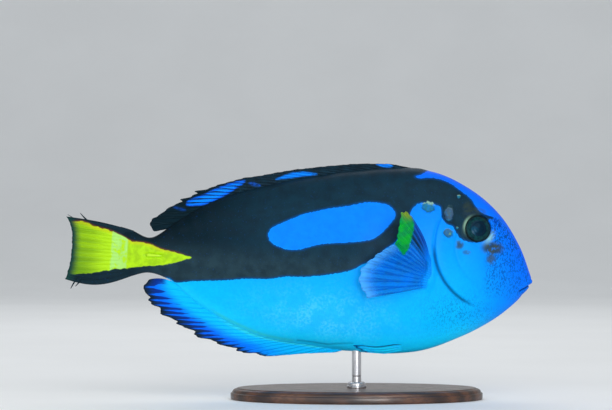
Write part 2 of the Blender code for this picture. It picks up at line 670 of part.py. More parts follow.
def make_pelvic_fin(name, side):
    """A pelvic fin, folded back along the keel: a spine above and three rays below it."""
    t, is_crest = ray_columns(PELVIC_RAYS)
    along = np.linspace(0.0, 1.0, 5)[None, :]
    t = t[:, None]
    reach = ragged(is_crest, PELVIC_RAYS, 0.04, 0.02, 5)[:, None]
    back = PELVIC_FROM + 1.5 * MM * t + (PELVIC_LENGTH - PELVIC_SHORTER * t) * along * reach
    apart = PELVIC_APART - PELVIC_CLOSER * t - (PELVIC_TAPER - 1.6 * MM * t) * along
    high = keel(back) + (PELVIC_LIFT - 2.5 * MM * t) * (1.0 - 0.8 * along) - 0.35 * MM
    middle = place(back, side * apart, high)
    thickness = ray_thickness(is_crest, along[0], ray=PELVIC_RAY)
    sheet = vane(name, middle, sheet_normals(middle), thickness)
    foot = PELVIC_FROM + 0.6 * MM
    point, _, turn = surface_frame(foot, float(keel(foot)) + 1.4 * MM, side)
    boolean(sheet, "UNION", [lump("pad", point, PELVIC_PAD, turn, 12)])
    boolean(sheet, "DIFFERENCE", [body_loft("grown", grow=GAP)])
    return keep_largest(sheet)


def make_stand(axis):
    """A flat oval base, a steel rod up to the belly and a collar where the rod enters the base."""
    bpy.ops.mesh.primitive_cylinder_add(vertices=56, radius=0.5, depth=BASE_THICKNESS)
    base = bpy.context.object
    base.name = "stand_base"
    base.data.transform(Matrix.Diagonal((BASE_LENGTH, BASE_WIDTH, 1, 1)))
    base.data.transform(Matrix.Translation((0, 0, BASE_THICKNESS / 2)))
    edge = base.modifiers.new("edge", "BEVEL")
    edge.width = BASE_EDGE
    edge.segments = 2
    edge.limit_method = "ANGLE"
    collar = cylinder("stand_collar", COLLAR_RADIUS, BASE_THICKNESS + GAP, COLLAR_HEIGHT)
    bore = cylinder("bore", ROD_RADIUS + GAP, 0.0, ROD_LENGTH)
    boolean(collar, "DIFFERENCE", [bore])
    rod = cylinder("stand_rod", ROD_RADIUS, BASE_THICKNESS + GAP, ROD_LENGTH)
    belly = body_loft("belly", grow=GAP)
    belly.data.transform(axis)
    boolean(rod, "DIFFERENCE", [belly])
    keep_largest(rod)
    return [base, collar, rod]


def cylinder(name, radius, from_z, height):
    """An upright cylinder on the stand's middle."""
    bpy.ops.mesh.primitive_cylinder_add(vertices=20, radius=radius, depth=height)
    obj = bpy.context.object
    obj.name = name
    obj.data.transform(Matrix.Translation((0, 0, from_z + height / 2)))
    return obj


def finish_for(name, colour, roughness, metallic=0.0):
    """A plain Principled material."""
    material = bpy.data.materials.new(name)
    material.use_nodes = True
    shader = material.node_tree.nodes["Principled BSDF"]
    shader.inputs["Base Color"].default_value = (*colour, 1.0)
    shader.inputs["Roughness"].default_value = roughness
    shader.inputs["Metallic"].default_value = metallic
    return material


def main():
    for obj in list(bpy.data.objects):
        bpy.data.objects.remove(obj)
    skin = finish_for("blue_skin", (0.0, 0.25, 0.90), 0.35)
    dark = finish_for("black_skin", (0.012, 0.02, 0.03), 0.35)
    yellow = finish_for("yellow_tail", (0.75, 0.85, 0.02), 0.40)
    eye = finish_for("eye", (0.01, 0.02, 0.02), 0.08)
    bone = finish_for("scalpel", (0.85, 0.85, 0.70), 0.40)
    wood = finish_for("base_wood", (0.07, 0.035, 0.02), 0.45)
    steel = finish_for("rod_steel", (0.60, 0.60, 0.62), 0.30, 1.0)

    parts = [
        (make_head(), skin),
        (make_lower_jaw(), skin),
        (make_gill_cover("gill_cover_right", -1), skin),
        (make_gill_cover("gill_cover_left", 1), skin),
        (make_trunk(), skin),
        (make_tail_stalk(), yellow),
        (make_dorsal_fin(), dark),
        (make_anal_fin(), skin),
        (make_caudal_fin(), yellow),
        (make_pectoral_fin("pectoral_fin_right", -1), skin),
        (make_pectoral_fin("pectoral_fin_left", 1), skin),
        (make_pelvic_fin("pelvic_fin_right", -1), skin),
        (make_pelvic_fin("pelvic_fin_left", 1), skin),
        (eye_lump("eye_right", -1), eye),
        (eye_lump("eye_left", 1), eye),
        (scalpel("tail_spine_right", -1), bone),
        (scalpel("tail_spine_left", 1), bone),
    ]

    # The fish is tipped about its snout and hung so that its belly is over the rod
    tip = Matrix.Rotation(NOSE_DOWN, 4, "Y")
    belly = tip @ Vector((-ROD_BACK, 0.0, float(keel(ROD_BACK))))
    axis = bpy.data.objects.new("fish_axis", None)
    bpy.context.scene.collection.objects.link(axis)
    axis.location = (-belly.x, 0.0, SNOUT_HEIGHT)
    axis.rotation_euler = (0.0, NOSE_DOWN, 0.0)
    bpy.context.view_layer.update()
    for obj, _ in parts:
        obj.parent = axis

    base, collar, rod = make_stand(axis.matrix_world)
    parts += [(base, wood), (collar, steel), (rod, steel)]
    model = bpy.data.collections.new("regal_blue_tang")
    bpy.context.scene.collection.children.link(model)
    for obj, material in parts:
        for home in obj.users_collection:
            home.objects.unlink(obj)
        model.objects.link(obj)
        obj.data.materials.clear()
        obj.data.materials.append(material)
        obj.data.shade_smooth()
        obj.data.set_sharp_from_angle(angle=math.radians(40))


main()
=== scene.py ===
"""The looks of a life-size regal blue tang: skin and markings, eyes, rayed fins, tail spines and stand.

The fish is worked out in millimetres in a frame of its own: `back` is the distance behind the tip of the
snout, `high` the height above the body's axis, and `side` is positive on the fish's left. Places and outlines
are (back, high). `placed` tips that frame nose-down, sets it over the stand and gives metres.
"""

import math
from functools import wraps

import bpy
import numpy as np
from bpy.props import FloatProperty, FloatVectorProperty, IntProperty, PointerProperty
from bpy.types import Operator, Panel, PropertyGroup
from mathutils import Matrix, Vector


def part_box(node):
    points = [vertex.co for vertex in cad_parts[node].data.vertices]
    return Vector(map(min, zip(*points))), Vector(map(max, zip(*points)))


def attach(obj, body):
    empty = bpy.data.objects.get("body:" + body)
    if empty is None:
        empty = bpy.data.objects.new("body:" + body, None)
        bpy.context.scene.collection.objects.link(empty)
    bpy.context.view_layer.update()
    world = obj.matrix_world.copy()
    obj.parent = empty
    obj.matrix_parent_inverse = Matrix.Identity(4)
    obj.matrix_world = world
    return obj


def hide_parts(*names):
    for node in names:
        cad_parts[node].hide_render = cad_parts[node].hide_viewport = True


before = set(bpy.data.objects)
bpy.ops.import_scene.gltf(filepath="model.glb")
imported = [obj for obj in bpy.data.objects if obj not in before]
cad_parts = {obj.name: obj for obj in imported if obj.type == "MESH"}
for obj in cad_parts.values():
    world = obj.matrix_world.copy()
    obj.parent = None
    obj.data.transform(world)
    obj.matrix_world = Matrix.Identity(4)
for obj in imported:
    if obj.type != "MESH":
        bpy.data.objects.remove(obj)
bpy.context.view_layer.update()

bl_info = {
    "name": "Regal Blue Tang Model",
    "version": (1, 0, 0),
    "blender": (4, 5, 0),
    "location": "3D View > Sidebar > Blue Tang",
    "description": "Builds a life-size display model of a regal blue tang on a small stand",
    "category": "Add Mesh",
}

MM = 0.001
SIDES = (("right", -1), ("left", 1))

# Place of the fish: the tip of its snout over the stand, in metres, and how far it swims nose-down
SNOUT_TIP = (0.07491, 0.0, 0.0506)
NOSE_DOWN = math.radians(4.08)

# Body stations: distance behind the snout, height of the back, depth of the keel, half of the width
STATIONS = np.array([
    (0.0, -0.3, -0.3, 0.0), (1.5, 4.5, -3.5, 1.9), (6.6, 15.3, -10.0, 4.5), (15.2, 27.0, -17.7, 7.5),
    (28.4, 37.1, -25.9, 10.3), (47.0, 43.9, -33.6, 12.1), (66.0, 43.2, -35.6, 12.4),
    (90.0, 39.1, -33.9, 11.2), (116.0, 32.2, -30.9, 8.6), (140.0, 23.0, -20.3, 5.4),
    (156.0, 12.2, -9.9, 3.4), (164.0, 7.0, -8.1, 2.8), (173.0, 9.8, -10.7, 1.6), (178.0, 10.9, -11.9, 0.12),
])
BODY_END, STALK_END = 178.0, 173.0
ROUNDNESS = 0.96
SKIN_SIDES = 264

# Gill cover: a crescent about one centre, from the preopercle to the gill opening
GILL_CENTRE, GILL_RADIUS, PREOPERCLE_RADIUS = (16.0, 14.0), 27.0, 18.5
GILL_TOP, GILL_THROAT = math.radians(14), math.radians(-84)

# Eye, nostrils with their radius, mouth, and the fold that runs forwards from the upper rim of the eye, whose
# groove is painted dark as shade
EYE_PLACE, EYE_RADIUS, EYE_HALF_DEPTH, EYE_SINK, EYE_OPENING = (24.9, 20.8), 6.2, 3.2, 1.9, 5.6
NOSTRILS, NOSTRIL_SHAPE = (((17.4, 24.6), 0.8), ((15.6, 22.9), 0.6)), (1.0, 1.3)
MOUTH_CORNER, MOUTH_SLOPE = (5.1, -4.7), 0.62
EYE_FOLD = ((23.6, 26.4), (18.8, 25.6))

# Fleshy foot of the pectoral fin, with its half sizes, and the fold from the vent to the belly fin, painted
# dark as shade
PECTORAL_FOOT, PECTORAL_FOOT_SIZE = (44.0, 0.3), (2.0, 6.2)
VENT_CREASE = ((75.0, -31.9), (85.0, -33.2), (98.0, -32.4))

# Tail spine
SPINE_BACK, SPINE_LENGTH, SPINE_RADIUS, SPINE_HIGH = 165.2, 6.6, 0.9, -0.5
SPINE_LINE = ((SPINE_BACK - SPINE_LENGTH, SPINE_HIGH), (SPINE_BACK, SPINE_HIGH))

# Fins: where each is rooted, and how many rays it has
DORSAL_FROM, DORSAL_TO, DORSAL_RAYS = 49.5, 156.4, 28
ANAL_FROM, ANAL_TO, ANAL_RAYS = 76.5, 151.0, 22
CAUDAL_RAYS, PECTORAL_RAYS, PELVIC_RAYS = 16, 15, 4
FIN_SUNK, FIN_BODY_END = 0.5, 163.0
FORK_WIDTH, RAY_JOINTS = 0.17, 30

# Loose ray tips at the tail's corners: start, end and sideways bend
STRAY_RAYS = (
    ((193.6, -11.6), (196.7, -17.3), 0.9), ((192.4, -12.9), (194.8, -16.2), -0.5),
    ((191.6, 12.3), (194.9, 15.3), 0.6), ((196.0, 12.0), (200.3, 14.3), -0.4),
)

# Outlines of the blue marks of the back fin
DORSAL_STREAKS = (
    ((112.4, 35.6), (109.4, 37.3), (105.2, 39.0), (100.1, 39.7), (94.8, 39.1), (99.9, 38.0), (106.3, 36.7)),
    ((70.0, 45.7), (66.2, 46.2), (62.7, 44.9), (65.6, 44.1), (69.1, 44.7)),
)
DORSAL_DASHES = (
    (149.6, 21.9), (145.7, 21.9), (140.6, 23.2), (134.8, 26.5), (130.3, 29.6), (125.6, 33.4), (126.6, 34.3),
    (132.6, 32.2), (138.0, 29.7), (143.0, 26.9), (148.9, 24.1),
)
DORSAL_SPOTS = (
    ((123.8, 33.2), (121.5, 33.6), (118.8, 32.6), (120.4, 32.2)),
    ((155.2, 20.4), (153.4, 20.8), (150.0, 19.9), (151.6, 19.4)),
)

# Green band of the pectoral fin, and the fin's length by share of the way across it
PECTORAL_BAND = (
    (60.5, 28.0), (57.6, 26.8), (56.2, 25.4), (54.1, 22.5), (53.5, 19.2), (53.8, 16.3), (54.1, 13.5),
    (55.0, 9.8), (56.6, 7.8), (58.7, 10.0), (61.0, 12.4), (63.0, 16.0), (63.0, 24.0),
)
PECTORAL_LENGTHS = (
    (0.0, 32.5), (0.07, 38.0), (0.143, 40.0), (0.286, 34.4), (0.43, 29.4), (0.57, 27.4), (0.68, 28.4),
    (0.79, 31.3), (0.88, 31.5), (1.0, 27.8),
)

# Outlines of the markings on the side of the fish
BLACK_BAND = (
    (46.0, 49.5), (46.9, 44.9), (48.9, 43.2), (51.0, 41.9), (53.2, 41.0), (51.0, 40.4), (45.3, 41.0),
    (38.9, 39.6), (33.7, 36.6), (29.0, 33.4), (25.6, 29.0), (23.0, 27.1), (18.6, 26.0), (20.6, 24.6),
    (19.6, 22.2), (20.4, 17.6), (25.0, 14.9), (31.2, 15.6), (34.4, 18.6), (35.8, 20.9), (38.6, 21.8),
    (40.7, 24.0), (41.3, 27.4), (42.6, 29.4), (49.6, 30.0), (53.3, 27.6), (54.8, 23.0),
    (56.4, 18.0), (59.9, 12.5), (63.4, 9.8), (68.6, 4.8), (73.5, 1.9), (77.9, -0.7), (87.8, -3.3),
    (96.8, -4.8), (105.8, -5.4), (111.8, -6.8), (122.5, -7.5), (129.7, -8.7), (144.7, -10.3),
    (151.7, -11.4), (157.3, -10.2), (170.0, -22.0), (215.0, -30.0), (215.0, 50.0), (120.0, 60.0),
)
FLANK_OVAL = (
    (113.8, 11.3), (112.6, 14.7), (108.2, 17.4), (99.2, 21.7), (90.0, 24.5), (80.9, 26.5), (74.0, 28.4),
    (68.0, 28.8), (63.2, 27.8), (60.5, 24.5), (61.8, 21.1), (66.2, 15.7), (70.6, 12.8), (79.7, 11.0),
    (89.0, 9.9), (95.4, 8.2), (99.0, 6.8), (105.0, 6.2), (111.2, 8.0),
)
TAIL_WEDGE = (
    (210.0, 11.4), (200.2, 11.3), (193.7, 11.8), (188.0, 10.1), (181.4, 8.7), (175.6, 6.5), (171.8, 4.9),
    (165.2, 4.5), (160.5, 2.9), (156.2, 1.9), (152.9, 1.6), (148.6, 0.6), (145.8, -0.3), (150.8, -2.2),
    (157.6, -4.3), (165.9, -5.4), (172.4, -6.7), (180.2, -8.0), (187.5, -9.7), (194.4, -10.9),
    (198.2, -10.7), (210.0, -10.0),
)

# Healed pits of the head: place, half sizes, depth, share of grey, share of ochre
HEAD_PITS = (
    ((46.8, 28.3), (2.9, 2.2), 1.0, 0.0, 0.0),
    ((37.9, 26.0), (1.9, 3.5), 0.8, 0.9, 0.1),
    ((37.7, 17.9), (2.4, 1.8), 1.0, 0.55, 0.0),
    ((37.1, 17.8), (1.7, 1.4), 0.2, 0.0, 1.0),
    ((34.0, 33.8), (0.9, 0.8), 0.7, 0.0, 0.0),
    ((34.0, 20.4), (0.5, 0.5), 0.5, 0.0, 0.0),
)

# Brown stains of the head: place, half sizes, strength
HEAD_STAINS = (
    ((32.6, 13.4), (1.7, 1.6), 0.85),
    ((29.3, 10.4), (1.6, 0.9), 0.6),
    ((18.3, 12.9), (4.2, 2.4), 0.95),
    ((18.5, 8.4), (1.9, 2.0), 0.75),
    ((30.0, 28.4), (2.0, 3.2), 0.45),
    ((25.8, 28.0), (3.6, 1.6), 0.45),
)

# Brushed steel: darker and lighter scratches, and how the noise of each piece is drawn out
STEEL_DARK, STEEL_LIGHT = (0.44, 0.44, 0.46), (0.66, 0.66, 0.68)
ALONG_ROD, ROUND_COLLAR = (1.0, 1.0, 0.04), (0.15, 0.15, 1.0)

# Studio: name, place in metres, size and power in watts of each light, and the tint of the light all round
STUDIO_LIGHTS = (
    ("key_light", (0.25, -0.80, 0.70), 0.7, 2.8),
    ("fill_light", (-0.55, -0.85, 0.25), 0.8, 2.2),
    ("low_light", (0.15, -0.95, 0.13), 0.26, 3.0),
    ("back_light", (-0.10, 0.60, 0.80), 0.7, 2.4),
)
LIT_PLACE = Vector((-0.02, 0.0, 0.05))
WORLD_TINT, WORLD_STRENGTH = (0.94, 0.97, 1.0, 1.0), 0.50
FLOOR_SIZE = 2.0


def smooth(t):
    """A ramp from 0 to 1 with level ends."""
    t = np.clip(t, 0.0, 1.0)
    return t * t * (3.0 - 2.0 * t)


def between(x, start, rise, end, fall):
    """1 between start and end, with smooth ramps just inside them."""
    return smooth((x - start) / rise) * smooth((end - x) / fall)


def bell(x, width):
    """A bell curve of height 1, which falls to 1/e at a distance of width."""
    return np.exp(-((x / width) ** 2))


def station_curve(column):
    """A cubic through one column of the stations over the square root of the distance behind the snout."""
    places, values = np.sqrt(STATIONS[:, 0]), STATIONS[:, column]
    slopes = np.gradient(values, places)
    slopes[0] = (values[1] - values[0]) / (places[1] - places[0])

    def curve(back):
        at = np.sqrt(np.clip(back, 0.0, BODY_END))
        i = np.clip(np.searchsorted(places, at) - 1, 0, len(places) - 2)
        step = places[i + 1] - places[i]
        t = (at - places[i]) / step
        start = values[i] * (1 + 2 * t) * (1 - t) ** 2 + step * slopes[i] * t * (1 - t) ** 2
        return start + values[i + 1] * t**2 * (3 - 2 * t) + step * slopes[i + 1] * t**2 * (t - 1)

    return curve


top, keel, half_width = (station_curve(column) for column in (1, 2, 3))


def side_of_body(back, high):
    """Half width of the body at a height: an oval that is as wide as the station there."""
    middle = (top(back) + keel(back)) / 2
    half_height = (top(back) - keel(back)) / 2
    across = np.clip(1.0 - ((high - middle) / half_height) ** 2, 0.0, 1.0)
    return half_width(back) * across ** (ROUNDNESS / 2)


def share_of_height(back, high):
    """How far up the body a point is: 0 at the keel and 1 at the back."""
    return (high - keel(back)) / np.maximum(top(back) - keel(back), 0.1)


def fish_points(back, side, high):
    """Points of the fish's frame as (x, y, z) in millimetres, x forwards."""
    return np.stack(np.broadcast_arrays(-np.asarray(back, float), side, high), axis=-1)


def placed(points):
    """Points of the fish's frame turned nose-down about the snout and set over the stand, in metres."""
    x, y, z = points[..., 0], points[..., 1], points[..., 2]
    turned_x = x * math.cos(NOSE_DOWN) + z * math.sin(NOSE_DOWN)
    turned_z = z * math.cos(NOSE_DOWN) - x * math.sin(NOSE_DOWN)
    return np.stack([turned_x, y, turned_z], axis=-1) * MM + np.array(SNOUT_TIP)


def off_spot(back, high, place, half=(1.0, 1.0)):
    """Distance from a place, as a share of the half sizes of a spot there."""
    return np.hypot((back - place[0]) / half[0], (high - place[1]) / half[1])


def off_line(back, high, *points):
    """Least distance from the straight lines between points."""
    nearest = np.inf
    for (ax, ay), (bx, by) in zip(points, points[1:]):
        run, rise = bx - ax, by - ay
        share = np.clip(((back - ax) * run + (high - ay) * rise) / (run * run + rise * rise), 0.0, 1.0)
        nearest = np.minimum(nearest, np.hypot(back - ax - share * run, high - ay - share * rise))
    return nearest


def rounded_outline(points, steps=6):
    """A closed curve through points: between two of them it is a Catmull-Rom cubic."""
    p1 = np.array(points)
    p0, p2, p3 = np.roll(p1, 1, axis=0), np.roll(p1, -1, axis=0), np.roll(p1, -2, axis=0)
    t = np.linspace(0.0, 1.0, steps, endpoint=False)[None, :, None]
    p0, p1, p2, p3 = (p[:, None, :] for p in (p0, p1, p2, p3))
    bend = (2 * p0 - 5 * p1 + 4 * p2 - p3) * t**2 + (3 * p1 - p0 - 3 * p2 + p3) * t**3
    return (p1 + 0.5 * ((p2 - p0) * t + bend)).reshape(-1, 2)


def depth_inside(back, high, *outlines):
    """Depth inside closed outlines, negative outside: the least distance to an outline's sides, with its sign
    from how many sides a level line to the right crosses."""
    depth = -np.inf
    for points in outlines:
        outline = rounded_outline(points)
        ends = np.roll(outline, -1, axis=0)
        inside = np.zeros(np.shape(back), bool)
        for (ax, ay), (bx, by) in zip(outline, ends):
            if by != ay:
                crossing = ax + (high - ay) * (bx - ax) / (by - ay)
                inside ^= ((ay > high) != (by > high)) & (back < crossing)
        nearest = off_line(back, high, *outline, outline[0])
        depth = np.maximum(depth, np.where(inside, nearest, -nearest))
    return depth


# Meshes


def sheet_normals(grid):
    """Unit normals of a grid of points: the cross product of its two directions."""
    normal = np.cross(np.gradient(grid, axis=0), np.gradient(grid, axis=1))
    return normal / np.maximum(np.linalg.norm(normal, axis=-1, keepdims=True), 1e-12)


def grid_quads(columns, rows, wrap=False):
    """Corner numbers of the quads of a grid with `rows` points in each column, closed across if wrapped."""
    number = np.arange(columns * rows).reshape(columns, rows)
    ahead = np.roll(number, -1, axis=0) if wrap else number[1:]
    here = number if wrap else number[:-1]
    corners = [here[:, :-1], ahead[:, :-1], ahead[:, 1:], here[:, 1:]]
    return np.stack(corners, axis=-1).reshape(-1, 4)


def turn_outwards(mesh):
    """Flips the faces of a closed mesh that is inside out: the volume from its triangles is then negative."""
    mesh.calc_loop_triangles()
    corners = np.empty(len(mesh.loop_triangles) * 3, np.int32)
    mesh.loop_triangles.foreach_get("vertices", corners)
    points = np.empty(len(mesh.vertices) * 3, np.float32)
    mesh.vertices.foreach_get("co", points)
    a, b, c = points.reshape(-1, 3)[corners.reshape(-1, 3)].transpose(1, 0, 2).astype(float)
    if np.einsum("ij,ij->", a, np.cross(b, c)) < 0:
        mesh.flip_normals()


def mesh_piece(name, points, faces, fields=None, sharp=None):
    """A mesh object from points in metres and faces. fields are named values at each point."""
    mesh = bpy.data.meshes.new(name)
    mesh.from_pydata(points.reshape(-1, 3).tolist(), [], faces)
    for label, values in (fields or {}).items():
        mesh.attributes.new(label, "FLOAT", "POINT").data.foreach_set("value", np.float32(values).ravel())
    turn_outwards(mesh)
    mesh.shade_smooth()
    if sharp is not None:
        mesh.set_sharp_from_angle(angle=math.radians(sharp))
    piece = bpy.data.objects.new(name, mesh)
    bpy.context.scene.collection.objects.link(piece)
    return piece


def tube_piece(name, rings, fields=None, sharp=None):
    """A closed skin over rings of points (rings, sides, 3) in metres, with a point amid each end."""
    count, sides = rings.shape[:2]
    quads = grid_quads(sides, count, wrap=True)
    faces = (quads % count * sides + quads // count).tolist()
    first, last = count * sides, count * sides + 1
    spokes = np.arange(sides)
    following = np.roll(spokes, -1)
    end = (count - 1) * sides
    faces += np.stack([following, spokes, np.full(sides, first)], axis=-1).tolist()
    faces += np.stack([end + spokes, end + following, np.full(sides, last)], axis=-1).tolist()
    points = np.concatenate([rings.reshape(-1, 3), [rings[0].mean(axis=0), rings[-1].mean(axis=0)]])
    full = {
        label: np.concatenate([values.ravel(), [values[0].mean(), values[-1].mean()]])
        for label, values in (fields or {}).items()
    }
    return mesh_piece(name, points, faces, full, sharp)


def sheet_piece(name, middle, thickness, fields):
    """A thin solid: both faces lie half of the thickness off a middle grid, and a rim joins them."""
    columns, rows = middle.shape[:2]
    half = sheet_normals(middle) * thickness[..., None] / 2
    points = placed(np.concatenate([(middle + half).reshape(-1, 3), (middle - half).reshape(-1, 3)]))
    other = columns * rows
    front = grid_quads(columns, rows)
    rim = [np.arange(columns) * rows, (columns - 1) * rows + np.arange(1, rows)]
    rim += [np.arange(columns - 2, -1, -1) * rows + rows - 1, np.arange(rows - 2, 0, -1)]
    rim = np.concatenate(rim)
    following = np.roll(rim, -1)
    edge = np.stack([following, rim, rim + other, following + other], axis=-1)
    faces = np.concatenate([front, front[:, ::-1] + other, edge]).tolist()
    both = {label: np.concatenate([values.reshape(-1)] * 2) for label, values in fields.items()}
    return mesh_piece(name, points, faces, both)


def finished(piece, material, slot, *replaced):
    """Gives a piece its material, and lets it stand for the nodes of the frame that it replaces. slot is not
    used.
    """
    piece.data.materials.append(material)
    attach(piece, "root")
    if replaced:
        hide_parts(*replaced)


# Shader nodes


class Value:
    """An output of a shader node. Sums with it add Math nodes to its tree, where numbers are constants."""

    def __init__(self, tree, socket):
        self.tree, self.socket = tree, socket

    def math(self, operation, *others):
        """A Math node of this value and others."""
        return add(self.tree, "Math", 0, dict(enumerate((self, *others))), operation=operation)

    def __add__(self, other):
        return self.math("ADD", other)

    def __sub__(self, other):
        return self.math("SUBTRACT", other)

    def __mul__(self, other):
        return self.math("MULTIPLY", other)

    def ramp(self, start, end, low=0.0, high=1.0):
        """A smooth ramp: low where this value is at start, and high where it is at end."""
        inputs = dict(enumerate((self, start, end, low, high)))
        return add(self.tree, "MapRange", "Result", inputs, interpolation_type="SMOOTHSTEP")


def feed(tree, socket, value):
    """Sets a socket to a number or colour, or links the value that feeds it."""
    if isinstance(value, Value):
        tree.links.new(value.socket, socket)
    elif socket.type == "RGBA":
        socket.default_value = (*value, 1.0)
    else:
        socket.default_value = value


def add(tree, kind, output, inputs, **settings):
    """Adds a node, sets it up, feeds its inputs by name or number, and gives one of its outputs."""
    node = tree.nodes.new("ShaderNode" + kind)
    for label, setting in settings.items():
        setattr(node, label, setting)
    for label, value in inputs.items():
        feed(tree, node.inputs[label], value)
    return Value(tree, node.outputs[output])


def layered(colour, *layers):
    """Colours laid over one another, each by its mask. Sockets 6, 7 and 2 are the Mix node's colours."""
    for mask, over in layers:
        colour = add(mask.tree, "Mix", 2, {0: mask, 6: colour, 7: over}, data_type="RGBA")
    return colour


def fields_of(tree, names):
    """The values that the mesh holds at each point under names, which spaces part."""
    return [add(tree, "Attribute", "Fac", {}, attribute_name=name) for name in names.split()]


def on_object(tree, stretch=(1.0, 1.0, 1.0)):
    """Object coordinates, stretched along each axis."""
    return add(tree, "Mapping", "Vector", {"Vector": add(tree, "TexCoord", "Object", {}), "Scale": stretch})


def noise(spot, scale, detail=2.0, distortion=0.0):
    """Cloudy noise from 0 to 1."""
    inputs = {"Vector": spot, "Scale": scale, "Detail": detail, "Distortion": distortion}
    return add(spot.tree, "TexNoise", "Fac", inputs)


def bump(height, strength, distance, **under):
    """A Bump node, which gives a normal. One that lies under it is given as Normal."""
    inputs = {"Height": height, "Strength": strength, "Distance": distance, **under}
    return add(height.tree, "Bump", "Normal", inputs)


def painted(material, **links):
    """Feeds the sockets of a material's Principled BSDF by name (an underscore stands for a space)."""
    shader = material.node_tree.nodes["Principled BSDF"]
    for label, value in links.items():
        feed(material.node_tree, shader.inputs[label.replace("_", " ")], value)
    return material


def new_material(name, **constants):
    """A material whose Principled BSDF has the given constants, and its node tree."""
    material = bpy.data.materials.new(name)
    material.use_nodes = True
    return painted(material, **constants), material.node_tree


def new_group(name, outputs, inputs, build):
    """A shader node group: build makes its nodes from its inputs and returns what its outputs give."""
    tree = bpy.data.node_groups.new(name, "ShaderNodeTree")

    def new_socket(label, in_out, coloured):
        kind = "NodeSocketColor" if coloured else "NodeSocketFloat"
        shown = label.replace("_", " ").capitalize()
        return tree.interface.new_socket(name=shown, in_out=in_out, socket_type=kind)

    for label, value in inputs.items():
        new_socket(label, "INPUT", isinstance(value, tuple)).default_value = value
    for label in outputs:
        new_socket(label, "OUTPUT", label == "colour")
    entry = [Value(tree, socket) for socket in tree.nodes.new("NodeGroupInput").outputs[:len(inputs)]]
    leave = tree.nodes.new("NodeGroupOutput").inputs
    made = build(tree, *entry)
    for socket, value in zip(leave, made if isinstance(made, tuple) else (made,)):
        feed(tree, socket, value)
    return tree


def shared_group(*outputs, **inputs):
    """Turns a function that builds a node group into one that places it and feeds its inputs in order. The
    group is built once, with the named outputs and inputs."""

    def share(build):
        name = build.__name__.replace("_", " ").capitalize()

        @wraps(build)
        def place(tree, *values):
            node = tree.nodes.new("ShaderNodeGroup")
            node.node_tree = bpy.data.node_groups.get(name) or new_group(name, outputs, inputs, build)
            for socket, value in zip(node.inputs, values):
                feed(tree, socket, value)
            given = [Value(tree, socket) for socket in node.outputs]
            return given if len(given) > 1 else given[0]

        return place

    return share


BLACK = (0.0, 0.0, 0.0, 1.0)


@shared_group("mask", depth=0.0, grain=900.0, ragged=0.5, blur=0.3)
def ragged_edge(tree, depth, grain, ragged, blur):
    """Mask of a marking from the depth inside its outline, with an edge that noise makes ragged."""
    shift = (noise(on_object(tree), grain, 3.0) - 0.5) * ragged
    return (depth + shift).ramp(blur * -1.0, blur)


@shared_group("height", "shade", scale=1500.0, patch=140.0)
def fine_scales(tree, scale, patch):
    """Tiny rough scales: the distance in a cell pattern as height, and a soft shade that varies by patch."""
    spot = on_object(tree)
    return add(tree, "TexVoronoi", "Distance", {"Vector": spot, "Scale": scale}), noise(spot, patch, 4.0)


@shared_group("mask", scale=800.0, crest=0.52)
def worm_marks(tree, scale, crest):
    """Small upright marks: the crests of a noise that is drawn out upwards."""
    return noise(on_object(tree, (1.35, 1.35, 0.75)), scale, 1.0, 0.6).ramp(crest, crest + 0.06)


@shared_group("colour", colour=BLACK, other=BLACK, scale=200.0, amount=0.3)
def mottle(tree, colour, other, scale, amount):
    """A colour with clouds of another, all of one size."""
    return layered(colour, (noise(on_object(tree), scale, 4.0).ramp(0.35, 0.7) * amount, other))


# Body


def gill_sector(back, high):
    """Distance from the gill cover's centre, and how fully a point lies in the cover's range of angles."""
    angle = np.arctan2(high - GILL_CENTRE[1], back - GILL_CENTRE[0])
    within = between(angle, GILL_THROAT - 0.42, 0.5, GILL_TOP + 0.42, 0.5) * smooth((back - 22.5) / 8.0)
    return off_spot(back, high, GILL_CENTRE), within


def open_gill(high):
    """How far the gill opening gapes: shut above, open from the middle of the head down."""
    return smooth((14.5 - high) / 7.0)


def cleft_of_mouth(back, high):
    """Distance above the line of the mouth, and how far along it from its corner (0) to the front (1)."""
    line = MOUTH_CORNER[1] + MOUTH_SLOPE * (MOUTH_CORNER[0] - back)
    return (high - line) / math.hypot(1.0, MOUTH_SLOPE), (MOUTH_CORNER[0] - back) / MOUTH_CORNER[0]


